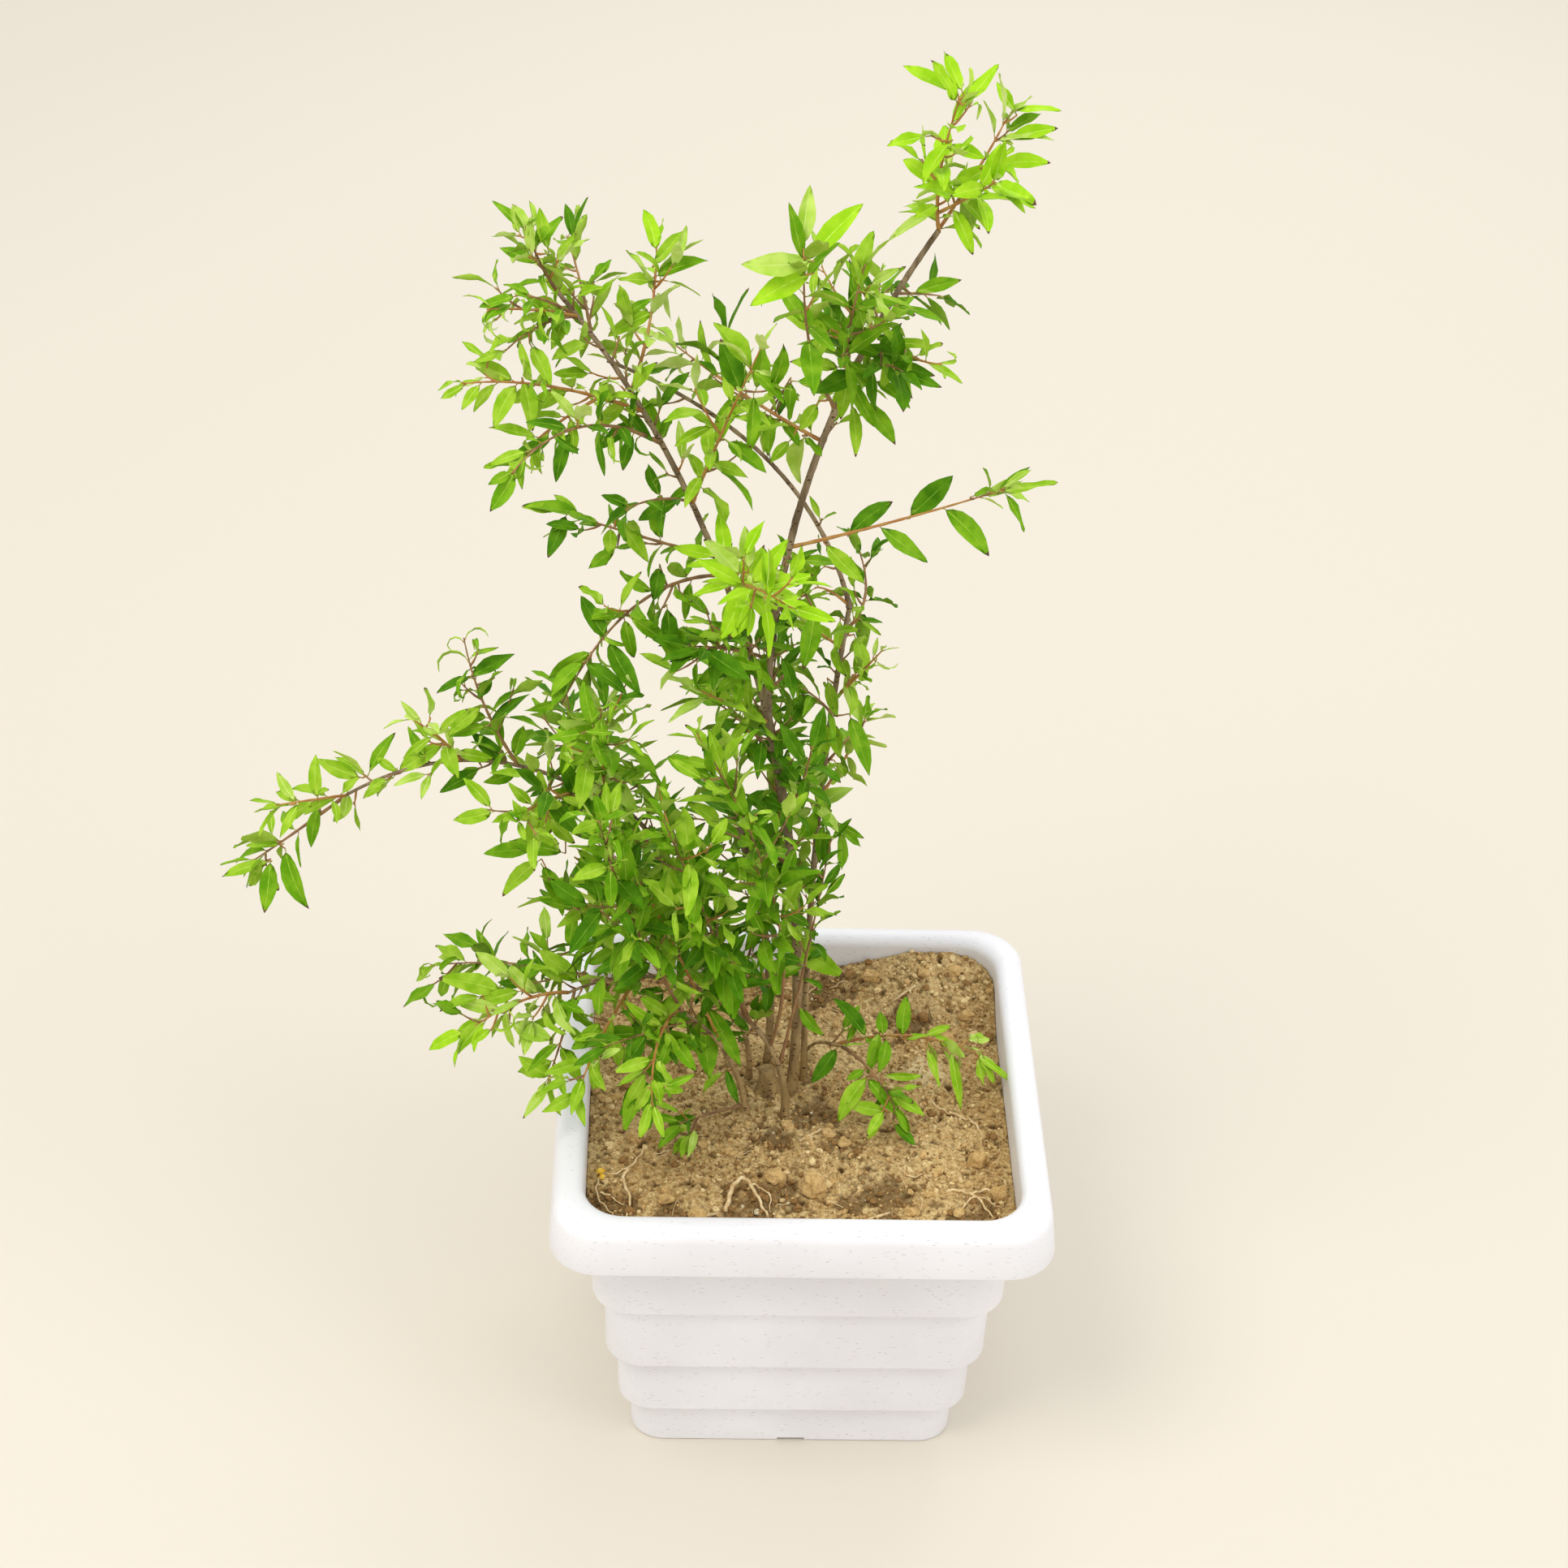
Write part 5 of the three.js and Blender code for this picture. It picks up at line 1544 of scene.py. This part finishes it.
def add_leaf(pile, leaf, width, curl, twist, wave, fold):
    """Walks a blade from foot to tip and adds it to a pile."""
    length, draws = leaf["length"], leaf["draws"]
    forward = leaf["along"].copy()
    roll = LOOSE["clear" if "share" in leaf else "grown"]
    normal = Matrix.Rotation((draws[ROLL] - 0.5) * roll, 3, forward) @ leaf["normal"]
    point = leaf["root"] + forward * LEAF["stalk"]
    verts = [point.copy()]
    before = 0.0
    sway = (draws[SWAY] - 0.5) * LOOSE["sway"]
    for s in (*STATIONS, 1.0):
        step = s - before
        side = forward.cross(normal)
        bend = Matrix.Rotation(-curl * step * (0.5 + s), 3, side)
        turn = Matrix.Rotation(twist * step, 3, forward)
        swing = Matrix.Rotation(sway * step, 3, normal)
        forward = (swing @ bend @ forward).normalized()
        normal = turn @ bend @ normal
        normal = (normal - forward * normal.dot(forward)).normalized()
        point = point + forward * (length * step)
        before = s
        if s == 1.0:
            break
        side = forward.cross(normal)
        half = width / 2 * blade_width(s)
        rib = min(MIDRIB["half"] * (1.1 - s), half * MIDRIB["most"])
        for sign in (-1, 1):
            phase = WAVE["along"] * s + WAVE["start"] * draws[PHASE] + WAVE["across"] * sign
            lift = half * math.sin(fold) + wave * math.sin(phase)
            edge = point + side * (sign * half * math.cos(fold)) + normal * lift
            inner = point + side * (sign * rib)
            verts += [edge, inner] if sign < 0 else [inner, edge]
        verts.append(point - normal * MIDRIB["deep"])
    verts.append(point)
    pile.add(verts, *(BROWN_TIP if draws[TWIST] > WITHERED else GREEN_TIP))


def sharpen_ribs(mesh):
    """Marks the rims and the rib lines of the leaves sharp."""
    pairs = np.empty(len(mesh.edges) * 2, dtype=np.int32)
    mesh.edges.foreach_get("vertices", pairs)
    first, second = pairs[0::2], pairs[1::2]
    per_leaf = 2 + ROW * len(STATIONS)
    column = (np.minimum(first, second) % per_leaf - 1) % ROW
    sharp = (np.abs(first - second) == ROW) & (column < ROW - 1)
    mesh.attributes.new("sharp_edge", "BOOLEAN", "EDGE").data.foreach_set("value", sharp)


print("faces in a leaf:", len(GREEN_TIP[0]))

# %% [markdown]
# ## Leaf colours
# Older leaves are a deep green, newer ones lighter, and the newest at the shoots' ends almost
# yellow. The pale look is painted sunlight: a lighter green for leaves as if the sun were on
# them. Each spray is dealt one of these as a plain colour, so the colour keeps its place
# when the model is exported, and a fine mottling inside each keeps a blade from looking flat.

# %% Leaf materials
LOOKS = {
    "deep": ("#3f7208", "#5c8e14", "#84a836", "#719a24"),
    "mid": ("#5c920a", "#80ac20", "#a4c24a", "#88ac2e"),
    "fresh": ("#7eac16", "#a0c436", "#b8d45e", "#9fc040"),
    # Pale is painted sunlight: a lighter green that stands for leaves in the sun.
    "pale": ("#9cc23a", "#bad464", "#d0e288", "#b6d062"),
    "young": ("#90c416", "#a8d42a", "#c6e264", "#b4d060"),
}
ORDER = list(LOOKS)
LEAF_FINISH = [  # part, scale of its mottling, roughness, grain, relief and shine
    ("", 110.0, 0.55, 700.0, 0.00016, 0.06),
    ("_rib", 300.0, 0.55, 900.0, 0.0001, 0.06),
    ("_underside", 110.0, 0.65, 700.0, 0.0002, 0.05),
]
OLDER, NEWER = 0.24, 0.78  # a spray's draw below the first or above the second shifts its look
CURLY = {"other": 0.9, "young": 0.25, "old": 0.7, "age": 0.4, "clear": 0.2, "width": 0.17}
# How a blade is held. Where two values stand after each other, they are a least and a range,
# but for the twist and the wave's size, which are for plain and for curled leaves.
HELD = {
    "wide": (0.75, 0.45), "curl": (0.3, 1.1), "aged": (0.25, 0.75), "curled": 3.0, "clear": 0.45,
    "twist": (1.1, 5.0), "wave": (0.3, 1.2), "waves": (1, 0.6), "fold": (6, 26), "newer": 0.25,
}
STALK = {"radii": (0.5, 0.32), "into_blade": 0.6}
withered = mottled("withered_tip", "#4a3218", "#6b4a26", 300.0, 0.7, 900.0, 0.0001)


def leaf_materials(look, first, second, rib, underside):
    """Materials of a blade, its rib, its underside and a withered tip."""
    tones = ((first, second), (rib, second), (underside, rib))
    made = [
        mottled(f"leaf_{look}{part}", *pair, *finish, Specular_IOR_Level=shine)
        for pair, (part, *finish, shine) in zip(tones, LEAF_FINISH)
    ]
    return *made, withered


piles = {look: Pile() for look in LOOKS}
stalks = Pile()


def dealt(look, share):
    """A spray's colour: its shoot's own, or at times a step older or newer; pale is painted
    sunlight.
    """
    shift = (-1 if share < OLDER else 0) + (1 if share > NEWER else 0)
    return ORDER[min(max(ORDER.index(look) + shift, 0), len(ORDER) - 1)]


def is_curly(leaf, curled):
    """Whether a leaf is curled up: few are, save the young ones on a curled shoot."""
    if "share" in leaf:
        return leaf["share"] < CURLY["clear"]
    kind = ("young" if leaf["age"] < CURLY["age"] else "old") if curled else "other"
    return leaf["draws"][ROLL] > CURLY[kind]


deal = seeded(900)
for spray in sprays:
    spray["colour"] = dealt(spray["look"], deal())
    # The newest leaves take a step on; from fresh that is pale, which is painted sunlight.
    newer = dealt(spray["colour"], 1.0 if deal() > 0.5 else 0.5)
    for leaf in spray["leaves"]:
        age, draws = leaf["age"], leaf["draws"]
        curly = is_curly(leaf, spray["curled"])
        share = leaf.get("share", LEAF["width"] * ranged(HELD["wide"], draws[WIDE]))
        width = leaf["length"] * (CURLY["width"] if curly else share)
        curl = HELD["curled"] if curly else ranged(HELD["aged"], age)
        curl *= ranged(HELD["curl"], draws[CURL])
        curl *= HELD["clear"] if "share" in leaf else 1
        twist = (draws[TWIST] - 0.5) * HELD["twist"][curly]
        wave = ranged(HELD["wave"], draws[WIDE] ** 2) * HELD["waves"][curly]
        fold = math.radians(ranged(HELD["fold"], draws[ROLL]))
        pile = piles[newer if age < HELD["newer"] else spray["colour"]]
        add_leaf(pile, leaf, width, curl, twist, wave, fold)
        reach = leaf["along"] * (LEAF["stalk"] + STALK["into_blade"])
        add_rod(stalks, [leaf["root"], leaf["root"] + reach], STALK["radii"], 3)

for look, colours in LOOKS.items():
    piece = piles[look].build(f"leaves_{look}", *leaf_materials(look, *colours))
    sharpen_ribs(piece.data)
    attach(piece, "root")
    print(piece.name, "faces:", len(piece.data.polygons))

# %% Twig mesh
twigs = Pile()
for spray in sprays:
    bow, thick = spray["bow"], spray["thick"]
    shares = even_shares(max(3, round(bow.length / TWIG_STEP)))
    joints = [1 + TWIG_JOINT * (i % 2) for i in range(len(shares))]
    radii = [(thick + (TWIG["tip"] - thick) * t) * joint for t, joint in zip(shares, joints)]
    points = [bow.point(t) for t in shares]
    add_rod(twigs, points, radii, 6, 0 if spray["colour"] in ("deep", "mid") else 1)

young_wood = mottled(
    "young_wood", "#7a5535", "#a37a4c", 160.0, 0.7, 900.0, 0.0003, stretch=(1, 1, 0.3)
)
red_shoot = mottled(
    "red_shoot", "#a8682e", "#b98b44", 120.0, 0.5, 900.0, 0.0002, stretch=(1, 1, 0.3)
)
leaf_stalk = mottled("leaf_stalk", "#b57738", "#a3b048", 200.0, 0.5, 900.0, 0.0001)
twig_piece = twigs.build("twigs", young_wood, red_shoot)
stalk_piece = stalks.build("leaf_stalks", leaf_stalk)
for piece in (twig_piece, stalk_piece):
    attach(piece, "root")
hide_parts(*[f"foliage_{name}" for name in SHOOTS])
print("twig faces:", len(twig_piece.data.polygons), "stalk faces:", len(stalk_piece.data.polygons))
